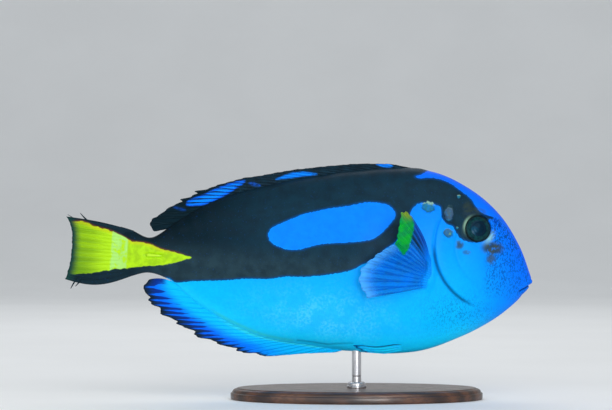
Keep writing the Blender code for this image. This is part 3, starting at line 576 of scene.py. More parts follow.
def skin_relief(back, side, high, cover_rise):
    """How far the skin stands off the plain body: gill cover, lips, eye sockets, pits and fin bases."""
    reach, within = gill_sector(back, high)
    flap = between(reach, 0.55 * GILL_RADIUS, 0.4 * GILL_RADIUS, GILL_RADIUS + 0.15, 0.35)
    gape = (0.2 + 0.35 * open_gill(high)) * bell(reach - GILL_RADIUS - 0.55, 0.5)
    relief = within * (cover_rise * flap - gape - 0.10 * bell(reach - PREOPERCLE_RADIUS, 0.6))

    eye = off_spot(back, high, EYE_PLACE) - EYE_OPENING
    relief += 0.5 * bell(eye - 0.75, 0.6) - 2.9 * smooth((0.1 - eye) / 0.55)
    for place, radius in NOSTRILS:
        away = off_spot(back, high, place, NOSTRIL_SHAPE) - radius
        relief += 0.22 * bell(away - 0.35, 0.3) - 0.9 * smooth(0.4 - away / 0.45)

    above, along = cleft_of_mouth(back, high)
    lips = (0.30 + 0.28 * along) * (0.8 * bell(above - 1.15, 0.8) + 0.35 * bell(above + 1.0, 0.62))
    cleft = (1.1 + 0.5 * along) * bell(above, 0.26)
    folds = 0.16 * (bell(above - 2.1, 0.4) + bell(above + 2.2, 0.4))
    relief += smooth(along * 6.0 + 0.5) * (lips - cleft - folds)

    for place, half, depth, _, _ in HEAD_PITS:
        away = off_spot(back, high, place, half)
        relief += depth * (0.08 * bell(away - 1.2, 0.25) - 0.35 * smooth((1.1 - away) / 0.6))
    relief -= 0.15 * bell(off_line(back, high, *EYE_FOLD), 0.4)
    relief -= 0.25 * bell(off_line(back, high, *VENT_CREASE), 0.35)
    relief += 0.8 * smooth(1.5 - off_spot(back, high, PECTORAL_FOOT, PECTORAL_FOOT_SIZE))
    groove = off_line(back, high, *SPINE_LINE)
    relief += 0.12 * bell(groove - 1.6, 0.5) - 0.6 * bell(groove, 0.75)

    share = share_of_height(back, high)
    line = bell(share - 0.80 + 0.20 * smooth((back - 120) / 40), 0.012)
    relief -= 0.07 * line * between(back, 42, 6, 168, 8)
    bases = between(back, 46, 6, 158, 5) * smooth((share - 0.5) * 4)
    bases += between(back, 73, 6, 154, 5) * smooth((0.5 - share) * 4)
    waves = np.sin(back * 0.42 + high * 0.10) + np.sin(back * 0.23 - high * 0.31 + 1.0)
    return relief + 0.55 * bases * bell(side, 1.15) + 0.05 * waves * between(back, 45, 20, 165, 20)


def painted_crease_shade(back, high):
    """Mask of the shade painted into the folds: at the gill cover, eye, mouth, vent, tail spine and nostrils.
    """
    reach, within = gill_sector(back, high)
    above, along = cleft_of_mouth(back, high)
    creases = [
        0.9 * open_gill(high) * within * bell(reach - GILL_RADIUS - 0.45, 0.55),
        0.10 * within * bell(reach - PREOPERCLE_RADIUS, 0.6),
        smooth((EYE_OPENING + 0.15 - off_spot(back, high, EYE_PLACE)) / 0.4),
        0.7 * bell(off_line(back, high, *EYE_FOLD), 0.45),
        smooth(along * 5.0 + 0.4) * bell(above, 0.34),
        0.45 * bell(off_line(back, high, *VENT_CREASE), 0.35),
        0.08 * bell(off_line(back, high, *SPINE_LINE), 0.85),
    ]
    for place, radius in NOSTRILS:
        creases.append(0.6 * smooth((radius + 0.2 - off_spot(back, high, place, NOSTRIL_SHAPE)) / 0.4))
    return np.maximum.reduce(creases)


def skin_fields(back, high):
    """What the skin's material reads at each point: its place, the depth inside each marking in millimetres,
    the nearest pit (how far off and up it lies, and its shares of grey and ochre), and masks of the rest."""
    oval, share = depth_inside(back, high, FLANK_OVAL), share_of_height(back, high)
    pit, pit_up, grey, ochre, stain = 9.0, 0.0, 0.0, 0.0, 0.0
    for place, half, _, pit_grey, pit_ochre in HEAD_PITS:
        away = off_spot(back, high, place, half)
        nearest = away < pit
        pit_up = np.where(nearest, (high - place[1]) / half[1], pit_up)
        grey, ochre = np.where(nearest, pit_grey, grey), np.where(nearest, pit_ochre, ochre)
        pit = np.minimum(pit, away)
    for place, half, strength in HEAD_STAINS:
        stain = np.maximum(stain, strength * smooth((1.5 - off_spot(back, high, place, half)) / 0.9))
    eye, angle = off_spot(back, high, EYE_PLACE), np.arctan2(high - EYE_PLACE[1], back - EYE_PLACE[0])
    snout = between(high, -12.0, 10.0, 27.0, 2.0) * smooth((23.0 - back) / 5.0)
    snout *= smooth((top(back) - high - 0.6) / 2.5) * (0.7 + 0.3 * bell(high - 17.0, 9.0))
    return {
        "back": back,
        "high": high,
        "band": np.minimum(depth_inside(back, high, BLACK_BAND), -oval),
        "oval": oval,
        "wedge": depth_inside(back, high, TAIL_WEDGE),
        "pit": pit,
        "pit_up": pit_up,
        "grey": grey,
        "ochre": ochre,
        "stain": stain,
        # painted shade: darkening in the folds and grooves of the skin
        "crease": painted_crease_shade(back, high),
        "pale": (0.1 + 0.9 * smooth(back / 36.0)) * np.clip(1.25 * (1.0 - share), 0.0, 1.0),
        # paler blue along the keel: partly countershading, partly painted light that lifts the shade under
        # the belly
        "low": smooth((0.15 - share) / 0.15) * between(back, 12.0, 20.0, 158.0, 12.0),
        "fold": bell(high - keel(back) - 0.7, 0.7) * between(back, 96.0, 8.0, 138.0, 8.0),
        # painted sheen: pale cyan clouds of a soft shine on the belly
        "sheen": bell(back - 88.0, 26.0) * bell(high + 22.0, 11.0),
        "worms": np.maximum(snout, 0.5 * bell(back - 30.0, 17.0) * bell(high + 16.0, 9.0)),
        # painted highlights on the skin round the eye: a crescent behind it and a patch below and in front of
        # it
        "behind_eye": bell(angle - 0.30, 0.55) * smooth((7.3 - eye) / 1.6),
        "before_eye": bell(angle + 2.50, 0.42) * smooth((8.6 - eye) / 2.4),
    }


def ring_places():
    """Distances behind the snout of the skin's rings: close on the lips and head, wider on the trunk.
    A ring comes each time that the sum of length over wanted spacing passes a whole number."""
    line = np.linspace(0.0, BODY_END, 6000)
    spacing = 0.08 + 0.22 * smooth(line / 10.0) + 0.50 * smooth((line - 44.0) / 18.0)
    passed = np.concatenate([[0.0], np.cumsum(np.diff(line) / spacing[1:])])
    return np.interp(np.arange(1, int(passed[-1]) + 1), passed, line)


def ring_angles(count):
    """Angles round a ring at even steps along an oval three times as high as it is wide."""
    fine = np.linspace(0.0, 2 * math.pi, 4001)
    middle = (fine[1:] + fine[:-1]) / 2
    passed = np.concatenate([[0.0], np.cumsum(np.hypot(0.33 * np.sin(middle), np.cos(middle)))])
    return np.interp(np.arange(count) / count * passed[-1], passed, fine)


def skin_rings(cover_rise):
    """The skin: oval rings along the body, each point moved along the surface's normal by the relief."""
    back = ring_places()[:, None]
    turn = ring_angles(SKIN_SIDES)[None, :]
    middle, half_height = (top(back) + keel(back)) / 2, (top(back) - keel(back)) / 2
    high = middle + half_height * np.sin(turn)
    side = half_width(back) * np.sign(np.cos(turn)) * np.abs(np.cos(turn)) ** ROUNDNESS
    back = back + 0.0 * high
    plain = fish_points(back, side, high)
    wrapped = np.concatenate([plain[:, -1:], plain, plain[:, :1]], axis=1)
    normal = sheet_normals(wrapped)[:, 1:-1]
    rings = plain + normal * skin_relief(back, side, high, cover_rise)[..., None]
    return placed(rings), skin_fields(back, high)


# Gloss of wet skin and fins: a soft reflection tinted like the water's light
WET_SKIN = {
    "Specular_IOR_Level": 0.22,
    "Specular_Tint": (0.12, 0.46, 0.78),
    "Coat_Weight": 0.04,
    "Coat_Roughness": 0.25,
}


@shared_group(
    "colour", depth=0.0, back=0.0, high=0.0, dark=BLACK, yellow=BLACK, edge=BLACK, warm=BLACK, pale=BLACK
)
def tail_markings(tree, depth, back, high, dark, yellow, edge, warm, pale):
    """The tail's yellow wedge on black: a red-brown line outside its upper edge and warmer yellow inside it,
    and the cloudy mint patch at the fin's root, partly its own pale colour and partly a painted highlight."""
    upper = high.ramp(0.0, 2.5)
    patch = back.ramp(173.2, 173.9) * back.ramp(180.9, 180.1)
    cloud = noise(on_object(tree), 420.0, 3.0).ramp(0.36, 0.50)
    dark = layered(dark, (depth.ramp(-0.9, 0.1) * upper * 0.75, edge))
    # the mint patch at the root: partly the fin's own colour, partly a painted highlight
    yellow = layered(yellow, (depth.ramp(1.9, 0.3) * upper * 0.5, warm), (patch * cloud, pale))
    return layered(dark, (ragged_edge(tree, depth, 420.0, 1.5, 0.25), yellow))


@shared_group(
    "colour", low_down=0.0, far_back=0.0, above=BLACK, rear=BLACK, low=BLACK, cloud=BLACK, speck=BLACK
)
def black_skin(tree, low_down, far_back, above, rear, low, cloud, speck):
    """The black of the flank and tail: browner low down, blacker far back, clouded, with sparse specks."""
    dark = mottle(tree, layered(above, (far_back, rear), (low_down, low)), cloud, 220.0, 0.5)
    return layered(dark, (noise(on_object(tree), 1500.0, 1.0).ramp(0.66, 0.74) * 0.20, speck))


def wedge_on(colours, depth, back, high, dark, yellow):
    """The tail's markings over the given black and yellow."""
    edges = colours.wedge_edge, colours.wedge_warm, colours.mint_root_and_highlight
    return tail_markings(depth.tree, depth, back, high, dark, yellow, *edges)


def black_of(tree, colours, low_down, far_back):
    """The black at a share of the way down the flank and to the tail."""
    shades = colours.band_top, colours.band_rear, colours.band_low, colours.fin_black, colours.worm_blue
    return black_skin(tree, low_down, far_back, *shades)


def scarred(colours, colour, spot):
    """The head's stains and pits, painted shade on the pits' lower rims and in the creases, and painted
    highlights on their upper rims and by the eye.
    """
    pit, up, grey, ochre, stain = fields_of(spot.tree, "pit pit_up grey ochre stain")
    behind_eye, before_eye, crease = fields_of(spot.tree, "behind_eye before_eye crease")
    fine = noise(spot, 1100.0, 3.0)
    pit = pit + noise(spot, 620.0).ramp(0.3, 0.7, -0.18, 0.18)
    grey = grey * up.ramp(-0.85, -0.45)
    brown = layered(colours.scar_brown, (noise(spot, 420.0).ramp(0.42, 0.6), colours.scar_grey))
    floor = layered(
        colours.scar_green,
        (fine.ramp(0.40, 0.62, 0.0, 0.25), colours.oval_blue),
        (grey * fine.ramp(0.72, 0.54), colours.pit_grey),
        (ochre * pit.ramp(0.55, 0.25), colours.scar_ochre),
    )
    around = pit.ramp(0.55, 0.85) * pit.ramp(1.25, 0.95)
    bare = grey.math("MAXIMUM", ochre).ramp(0.5, 0.1, 0.1, 0.9)
    return layered(
        colour,
        (stain * noise(spot, 500.0, 3.0).ramp(0.34, 0.52, 0.3, 1.0), brown),
        (pit.ramp(1.05, 0.8) * 0.9, floor),
        # painted shade on the pits' lower rims, and painted highlights on their upper rims
        (around * up.ramp(0.4, -0.3) * 0.4, colours.crease),
        (around * up.ramp(0.3, 0.9) * bare * fine.ramp(0.34, 0.52, 0.35, 1.0), colours.rim_highlight),
        # painted highlights on the skin round the eye
        (behind_eye * 0.95, colours.rim_highlight),
        (before_eye * 0.9, colours.lid_highlight),
        # painted shade in the folds and creases
        (crease * 0.85, colours.crease),
    )


def skin_material(colours):
    """Satin skin: blue that pales to the belly, the black band with its oval, and the yellow wedge."""
    material, tree = new_material("tang_skin", **WET_SKIN)
    scales, shade = fine_scales(tree, 1500.0, 140.0)
    spot = on_object(tree)
    back, high, band, oval, wedge = fields_of(tree, "back high band oval wedge")
    pale, sheen, low, fold, worms = fields_of(tree, "pale sheen low fold worms")

    clouds = noise(spot, 130.0, 3.0).ramp(0.38, 0.58) * noise(spot, 900.0, 3.0).ramp(0.36, 0.66)
    blue = layered(
        colours.crest_blue,
        (pale, colours.belly_blue),
        # painted sheen in clouds on the belly
        (sheen * (clouds * 0.45 + 0.12), colours.belly_sheen),
        # paler blue along the keel: partly countershading, partly painted light that lifts the shade under
        # the belly
        (low * 0.75, colours.keel_blue),
        (fold * 0.8, colours.root_green),
    )
    in_oval = mottle(tree, colours.oval_blue, colours.crest_blue, 300.0, 0.25)
    blue = layered(
        mottle(tree, blue, colours.crest_blue, 700.0, 0.10),
        (worm_marks(tree, 1350.0, 0.50) * worms * 0.92, colours.worm_blue),
        (ragged_edge(tree, oval, 500.0, 0.5, 0.5), in_oval),
    )
    low_down = high.ramp(9.0, -3.0) * back.ramp(156.0, 174.0, 1.0, 0.3)
    dark = black_of(tree, colours, low_down, back.ramp(108.0, 150.0))
    dark = layered(dark, (band.ramp(1.1, 0.2) * 0.7, colours.border_blue))
    colour = layered(blue, (ragged_edge(tree, band, 900.0, 0.9, 0.22), dark))
    yellow = mottle(tree, colours.stalk_yellow, colours.tail_yellow, 420.0, 0.6)
    colour = scarred(colours, wedge_on(colours, wedge, back, high, colour, yellow), spot)
    normal = bump(shade, 0.25, 0.0006, Normal=bump(scales, 0.25, 0.00012))
    return painted(material, Base_Color=colour, Roughness=shade.ramp(0.3, 0.7, 0.42, 0.56), Normal=normal)


# Eyes and tail spines


def skin_frame(back, high, side):
    """The plain body's point at (back, high) on one side, and unit vectors outwards, forwards and up."""
    step = 0.5
    slope_back = float(side_of_body(back + step, high) - side_of_body(back - step, high)) / (2 * step)
    slope_high = float(side_of_body(back, high + step) - side_of_body(back, high - step)) / (2 * step)
    out = np.array((slope_back, 1.0, -slope_high))
    out = out / np.linalg.norm(out) * (1.0, side, 1.0)
    forward = np.array((1.0, 0.0, 0.0)) - out * out[0]
    forward = forward / np.linalg.norm(forward)
    up = np.cross(forward, out) * side
    point = np.array((-back, side * float(side_of_body(back, high)), high))
    return point, out, forward, up if up[2] > 0 else -up


def turns(count):
    """Angles of a full turn in even steps, as a row."""
    return (np.arange(count) * 2 * math.pi / count)[None, :]


def eye_rings(side, count):
    """An eyeball: a flattened oval turned about the eye's axis, with a ridge round the pupil and a groove
    where the iris ends. The profile is a function of the angle from the pole."""
    point, out, forward, up = skin_frame(*EYE_PLACE, side)
    pole = np.linspace(0.0, math.pi, count + 2)[1:-1][:, None]
    turn = turns(96)
    radius = EYE_RADIUS * np.sin(pole)
    lens = 0.10 * smooth((2.7 - radius) / 0.5) - 0.07 * bell(radius - 2.9, 0.22)
    lens -= 0.10 * bell(radius - 4.7, 0.25)
    depth = EYE_HALF_DEPTH * np.cos(pole) + np.where(pole < math.pi / 2, lens, 0.0)
    ahead, above = radius * np.cos(turn), radius * np.sin(turn)
    centre = point - out * EYE_SINK
    rings = centre + depth[..., None] * out + ahead[..., None] * forward + above[..., None] * up
    return placed(rings), {"radius": np.broadcast_to(radius, ahead.shape) / EYE_RADIUS}


def eye_material(colours):
    """A glossy eye: a teal-black pupil with painted glints of lighter blue, hardly parted from the dark
    streaked iris, and a brown-black edge.
    """
    gloss = dict(WET_SKIN, Coat_Weight=0.08, Coat_Roughness=0.08, Roughness=0.35)
    material, tree = new_material("tang_eye", **gloss)
    radius = fields_of(tree, "radius")[0]
    streaks, glint = noise(on_object(tree), 900.0, 3.0), noise(on_object(tree, (1.0, 1.0, 0.6)), 260.0)
    iris = layered(colours.iris_dark, (streaks.ramp(0.35, 0.65), colours.iris_light))
    # painted glints: clouds of lighter blue in the pupil
    pupil = layered(colours.pupil, (glint.ramp(0.50, 0.66), colours.pupil_glint))
    rim = (radius.ramp(0.74, 0.90) * 0.85, colours.eye_edge)
    return painted(material, Base_Color=layered(pupil, (radius.ramp(0.48, 0.62), iris), rim))


def spine_rings(side):
    """A tail spine: a round blade that lies forwards in its groove, thick at its hinge and sharp at its tip.
    Its radius is a function of the place along it."""
    along = np.linspace(0.0, 1.0, 40)[:, None]
    turn = turns(20)
    back = SPINE_BACK - SPINE_LENGTH * along
    swell = np.sqrt(np.clip(1.0 - ((along - 0.22) / 0.80) ** 2, 0.0, 1.0)) * smooth(along * 9.0 + 0.35)
    radius = SPINE_RADIUS * np.maximum(swell, 0.05)
    high = SPINE_HIGH + radius * 0.8 * np.sin(turn)
    out = side_of_body(back, SPINE_HIGH) - 0.15 + radius * 0.95 * np.cos(turn) * side
    return placed(fish_points(back + 0.0 * turn, side * out, high))


def spine_material(colours):
    """Bone of the tail spines, yellow like the skin round it with a lighter grain."""
    material, tree = new_material("tail_spine", Roughness=0.34)
    grain = noise(on_object(tree, (0.2, 1.0, 1.0)), 2500.0, 3.0)
    colour = layered(colours.stalk_yellow, (grain.ramp(0.4, 0.7), colours.spine_light))
    return painted(material, Base_Color=colour, Normal=bump(grain, 0.2, 0.0001))


# Fins


def fin_grid(rays, columns_each, rows):
    """Places over a fin: u across it and v from root to edge, both from 0 to 1, and how many rays come before
    each column, so that a ray's crest is half-way through its cell."""
    u = np.linspace(0.0, 1.0, (rays - 1) * columns_each + 1)[:, None]
    return u, np.linspace(0.0, 1.0, rows)[None, :], u * (rays - 1) + 0.5


def off_crest(ray):
    """Place in a ray's cell, from -0.5 to 0.5, with the crest at 0."""
    return ray - np.floor(ray) - 0.5


def ray_ridges(ray, v):
    """Height of the rays above the membrane, from 0 to 1: a bell in each cell that forks half-way out, cut by
    fine joints."""
    fork = FORK_WIDTH * smooth((v - 0.35) / 0.45)
    width = 0.15 - 0.06 * v
    joints = 1.0 - 0.14 * smooth((v - 0.25) / 0.2) * np.cos(2 * math.pi * RAY_JOINTS * v)
    return joints * np.maximum(bell(off_crest(ray) - fork, width), bell(off_crest(ray) + fork, width))


def ragged_reach(ray, rays, notch, scatter, seed):
    """Share of its length that each place across a fin reaches: the ray tips scatter, and the membrane
    between them falls short."""
    draw = np.random.default_rng(seed).uniform(-scatter, scatter, rays)
    tip = np.interp(ray - 0.5, np.arange(rays), draw)
    return 1.0 + tip - notch * smooth((np.abs(off_crest(ray)) - 0.12) / 0.32)


def fin_piece(name, ray, v, middle, membrane, ridges, more=0.0, **marks):
    """A fin over its middle grid: a membrane and rays on it, whose thicknesses at root and edge are given,
    and what more they need. Its fields are the ray number, how far out a point is, its place and marks."""
    root, edge = membrane
    low, high = ridges
    thickness = root + (edge - root) * v + (low + (high - low) * v) * ray_ridges(ray, v) + more
    fields = {"ray": ray, "along": v, "back": -middle[..., 0], "high": middle[..., 2], **marks}
    full = {label: np.broadcast_to(values, middle.shape[:2]) for label, values in fields.items()}
    return sheet_piece(name, middle, thickness, full)


def median_sheet(root, tip, u, v, reach, wave):
    """The middle of a fin in the body's plane: straight rays from root to tip, both (back, high), with waves
    from side to side that grow outwards."""
    back, high = (start + (end - start) * reach * v for start, end in zip(root, tip))
    side = wave * np.sin(9.0 * u) * v**2 + 0.09 * off_crest(u * 40.0) * v
    return back, high, fish_points(back, side, high)


def folded_back(u):
    """How far a folded fin's rays sweep back: most in the middle of the fin."""
    return np.sin(math.pi * u) ** 0.6


def dorsal_fin(notch):
    """The back fin: rays from the back's ridge sweep to a margin that stands ever higher above the body, and
    ends in a low lobe."""
    u, v, ray = fin_grid(DORSAL_RAYS, 12, 30)
    root_back = DORSAL_FROM + (DORSAL_TO - DORSAL_FROM) * u
    lobe = np.sin(math.pi * np.clip((u - 0.72) / 0.28, 0.0, 1.0) ** 2)
    tip_back = root_back + 5.5 + 15.0 * folded_back(u) + 4.1 * lobe
    height = 0.5 + 1.2 * smooth((tip_back - 54.0) / 12.0) + 0.062 * (tip_back - 54.0)
    height = height + 1.6 * smooth((u - 0.66) / 0.3)
    last = 1.0 - 0.8 * np.clip((u - 0.84) / 0.16, 0.0, 1.0) ** 2
    tip_high = top(np.minimum(tip_back, FIN_BODY_END)) + height * last
    reach = ragged_reach(ray, DORSAL_RAYS, notch * 0.25, 0.045, 8)
    reach = reach + 0.16 * (bell(ray - 19.5, 0.35) + bell(ray - 21.5, 0.35))
    root = (root_back, top(root_back) - FIN_SUNK)
    back, high, middle = median_sheet(root, (tip_back, tip_high), u, v, reach, 0.6)
    outlines = {"streaks": DORSAL_STREAKS, "spots": DORSAL_SPOTS, "dashes": (DORSAL_DASHES,)}
    marks = {label: depth_inside(back, high, *shapes) for label, shapes in outlines.items()}
    return fin_piece("dorsal_fin_rays", ray, v, middle, (0.75, 0.30), (0.45, 0.12), **marks)


def anal_fin(notch):
    """The belly fin: rays from the keel sweep back to a ragged margin that hangs ever lower."""
    u, v, ray = fin_grid(ANAL_RAYS, 14, 40)
    root_back = ANAL_FROM + (ANAL_TO - ANAL_FROM) * u
    tip_back = root_back + 5.0 + 10.0 * smooth(u / 0.18) + 12.0 * folded_back(u)
    depth = 0.6 * smooth((tip_back - 76.0) / 6.0 + 0.33) + 0.2 * (tip_back - 76.0)
    last = 1.0 - 0.80 * np.clip((u - 0.62) / 0.38, 0.0, 1.0) ** 1.7
    tip_high = keel(np.minimum(tip_back, FIN_BODY_END)) - depth * last
    teeth = ragged_reach(ray / 2.4, 10, notch * 0.9, 0.045, 15)
    corner = np.clip((u - 0.86) / 0.14, 0.0, 1.0)
    reach = ragged_reach(ray, ANAL_RAYS, notch * 0.25, 0.015, 9) * (teeth + 0.06) - 0.20 * corner**2
    root = (root_back, keel(root_back) + FIN_SUNK)
    _, _, middle = median_sheet(root, (tip_back, tip_high), u, v, reach, 0.8)
    middle[..., 2] += 1.7 * corner**2 * np.sin(0.8 * math.pi * v)
    return fin_piece("anal_fin_rays", ray, v, middle, (0.75, 0.26), (0.45, 0.14))


def caudal_fin(notch):
    """The tail fin: a narrow fan whose rays run back from the end of the stalk to a slightly hollow edge."""
    u, v, ray = fin_grid(CAUDAL_RAYS, 14, 56)
    up = 2.0 * u - 1.0
    above, below = np.clip(up, 0.0, 1.0), np.clip(-up, 0.0, 1.0)
    root_high = np.where(up > 0, up * top(STALK_END), -up * keel(STALK_END)) * 0.96
    tip_back = 199.3 - 1.9 * (1.0 - up**2) + 1.2 * above**6
    reach = ragged_reach(ray, CAUDAL_RAYS, notch * 0.04, 0.008, 10)
    bow = (0.7 * above**3 - 3.0 * below**3) * np.sin(math.pi * v)
    back = STALK_END - 1.5 + (tip_back - STALK_END + 1.5) * reach * v
    high = root_high + (up * 13.4 - root_high) * v + bow
    middle = fish_points(back, 0.7 * np.sin(4.0 * up) * v**2, high)
    rays = (0.42 - 0.26 * v) * smooth((v - 0.15) / 0.3) * ray_ridges(ray, v)
    more = 0.6 * (1.0 - smooth(v / 0.3)) + rays
    wedge = depth_inside(back, high, TAIL_WEDGE)
    return fin_piece("tail_fin_rays", ray, v, middle, (0.9, 0.30), (0.0, 0.0), more, wedge=wedge)


def stray_rays():
    """Loose ray tips at the tail's corners: tapered round threads along a bent line."""
    pieces = []
    for number, (start, end, bend) in enumerate(STRAY_RAYS, 1):
        along = np.linspace(0.0, 1.0, 24)[:, None]
        turn = turns(10)
        back = start[0] + (end[0] - start[0]) * along + bend * along * (1.0 - along)
        high = start[1] + (end[1] - start[1]) * along
        radius = 0.62 * (1.0 - 0.75 * along)
        rings = fish_points(back + radius * np.cos(turn), 0.2 + radius * np.sin(turn), high + 0.0 * turn)
        pieces.append(tube_piece(f"stray_tail_ray_{number}", placed(rings)))
    return pieces


def pectoral_fin(name, side, notch, curl):
    """A pectoral fin: rays from a short slanting root, the first lifted steeply and bowed forwards, the last
    trailing back, each leaning outwards and curled back in at its tip."""
    t, v, ray = fin_grid(PECTORAL_RAYS, 14, 46)
    root_back, root_high = 45.0 - 2.8 * t + 1.6 * t**6, 5.6 - 10.6 * t
    lift = math.radians(67) - math.radians(82) * t**1.25
    outward = math.radians(22) + math.radians(30) * (1.0 - smooth((t - 0.35) / 0.45))
    length = np.interp(t, *zip(*PECTORAL_LENGTHS)) * ragged_reach(ray, PECTORAL_RAYS, notch * 0.2, 0.01, 11)
    bent = curl * length * v**2
    bow = 1.1 * np.sin(math.pi * v) * (1.0 - smooth(t / 0.4))
    ripple = 0.35 * np.sin(2 * math.pi * (2.2 * t + 0.3 * v)) * v**1.5 + 0.12 * off_crest(ray) ** 2 * v
    back = root_back + length * v * np.cos(lift) * np.cos(outward) + 0.6 * bent - bow
    high = root_high + length * v * np.sin(lift) * np.cos(outward)
    sunk = 0.35 + 0.45 * smooth((t - 0.65) / 0.35) * (1.0 - smooth(v / 0.12))
    out = side_of_body(root_back, root_high) - sunk + length * v * np.sin(outward) - 0.5 * bent + ripple
    middle = fish_points(back, side * out, high)
    fleshy = 1.1 * (1.0 - smooth(v / 0.22)) * (1.0 - 0.8 * smooth((t - 0.6) / 0.4))
    band = depth_inside(back, high, PECTORAL_BAND)
    return fin_piece(name, ray, v, middle, (0.34, 0.14), (0.42, 0.12), fleshy, across=t, band=band)


def pelvic_fin(name, side, notch):
    """A pelvic fin folded back along the keel, close to the skin: a wavy spine with three rays below it."""
    t, v, ray = fin_grid(PELVIC_RAYS, 16, 40)
    reach = ragged_reach(ray, PELVIC_RAYS, notch * 0.4, 0.02, 12)
    back = 51.0 + 1.5 * t + (23.5 - 7.0 * t) * v * reach
    wave = 0.4 * np.sin(2 * math.pi * 1.3 * v)
    above = (4.0 - 1.0 * v - 0.8 * v**6 + wave) * (1.0 - t) + 0.1
    above = above + t * (0.4 + 1.6 * (1.0 - smooth(v / 0.55)))
    high = keel(back) + above
    out = side_of_body(back, high) + 0.25 + 0.5 * t * v - 1.4 * (1.0 - smooth(v / 0.30))
    middle = fish_points(back, side * out, high - 0.2 * t)
    return fin_piece(name, ray, v, middle, (0.8, 0.28), (0.5, 0.12))


@shared_group("mask", "height", "away", "cloud", "roughness", ray=0.0, along=0.0, joints=30.0)
def fin_rays(tree, ray, along, joints):
    """Rays of a fin from its ray number and the share of its length: a line in each cell that forks half-way
    out, its height with fine joints, and the distance from the ray, which is 0.5 between two of them. The
    membrane's fine unevenness and roughness come with them."""
    away = (ray.math("FRACT") - 0.5).math("ABSOLUTE")
    fork = along.ramp(0.35, 0.8, 0.0, FORK_WIDTH)
    line = (away - fork).math("ABSOLUTE").ramp(0.15, 0.03)
    joint = (along * joints * (2 * math.pi)).math("COSINE") * -0.15 + 0.85
    cloud = noise(on_object(tree), 900.0, 3.0)
    return line, line * joint, away, cloud, cloud.ramp(0.3, 0.7, 0.36, 0.52)


class FinPaint:
    """A fin's material, its tree, the mask of its rays, and the distance from them."""

    def __init__(self, name):
        self.material, self.tree = new_material(name, **WET_SKIN)
        ray, along = fields_of(self.tree, "ray along")
        self.rays, height, self.away, cloud, self.roughness = fin_rays(self.tree, ray, along, RAY_JOINTS)
        self.normal = bump(cloud, 0.15, 0.0003, Normal=bump(height, 0.5, 0.00025))

    def finish(self, colour, **more):
        """Links the colour, the roughness and the bump of the rays and membrane."""
        return painted(self.material, Base_Color=colour, Roughness=self.roughness, Normal=self.normal, **more)


def dorsal_material(colours):
    """Black back fin with faint rays, a long blue streak, a row of bright blue dashes and two dim spots."""
    fin = FinPaint("dorsal_fin")
    tree = fin.tree
    back, along, streaks, dashes, spots = fields_of(tree, "back along streaks dashes spots")
    gaps = fin.rays.ramp(0.80, 0.20)
    deep = layered(colours.crest_blue, (dashes.ramp(0.2, 1.3), colours.oval_blue))
    dim = noise(on_object(tree), 600.0).ramp(0.35, 0.6, 0.2, 0.6) * back.ramp(130.0, 145.0, 1.0, 0.5)
    return fin.finish(layered(
        mottle(tree, colours.fin_black, colours.band_top, 260.0, 0.7),
        (back.ramp(116.0, 150.0), colours.band_rear),
        (fin.rays * 0.16, colours.band_low),
        (ragged_edge(tree, dashes, 500.0, 0.8, 0.5) * gaps, deep),
        (ragged_edge(tree, streaks, 500.0, 0.8, 0.5) * (gaps * 0.25 + 0.75), colours.oval_blue),
        (ragged_edge(tree, spots, 500.0, 1.0, 0.6) * dim, colours.crest_blue),
        (along.ramp(0.93, 0.985), colours.fin_black),
    ))


def anal_material(colours):
    """Belly fin: cyan like the belly at its root and all the way out in front. Farther back it is azure
    outwards, and navy wedges that start between the rays widen to a black ragged edge. A pale green line runs
    along the middle of its root."""
    fin = FinPaint("anal_fin")
    back, along, ray = fields_of(fin.tree, "back along ray")
    line = along.ramp(0.02, 0.10) * along.ramp(0.26, 0.14) * back.ramp(138.0, 122.0)
    start = back.ramp(96.0, 146.0, 0.92, 0.34) + (noise(on_object(fin.tree), 220.0) * 0.5 - 0.25)
    widening = along.ramp(start, start + 0.62) * 0.46
    wedge = (fin.away + widening).ramp(0.48, 0.62) * back.ramp(88.0, 108.0)
    wedge = wedge.math("MAXIMUM", ray.ramp(20.7, 21.2) * along.ramp(0.35, 0.6))
    return fin.finish(layered(
        colours.belly_blue,
        (along.ramp(0.25, 0.8) * back.ramp(92.0, 122.0), colours.oval_blue),
        (along.ramp(0.35, 0.85) * back.ramp(106.0, 136.0), colours.crest_blue),
        (line * 0.75, colours.root_green),
        (wedge * 0.92, layered(colours.fin_violet, (along.ramp(0.66, 0.96), colours.fin_black))),
        (along.ramp(back.ramp(96.0, 124.0, 1.0, 0.82), 1.0), colours.fin_black),
    ))


def caudal_material(colours):
    """Tail fin: yellow with fine lighter rays between black edges, mint-pale at its root, partly by a painted
    highlight.
    """
    fin = FinPaint("tail_fin")
    back, high, along, ray, wedge = fields_of(fin.tree, "back high along ray wedge")
    lanes = (ray * 2.6).math("SINE").ramp(-0.6, 0.9)
    yellow = layered(
        colours.stalk_yellow,
        (along.ramp(0.3, 0.95), colours.tail_yellow),
        (fin.rays * along.ramp(0.30, 0.45, 0.0, 0.4), colours.stalk_yellow),
        (lanes * along.ramp(0.35, 0.7) * 0.35, colours.tail_shade),
        (along.ramp(0.45, 0.95) * high.ramp(5.0, -9.0) * 0.6, colours.tail_shade),
    )
    colour = wedge_on(colours, wedge, back, high, black_of(fin.tree, colours, 0.3, 1.0), yellow)
    return fin.finish(layered(colour, (along.ramp(0.83, 0.99), colours.tail_margin)))


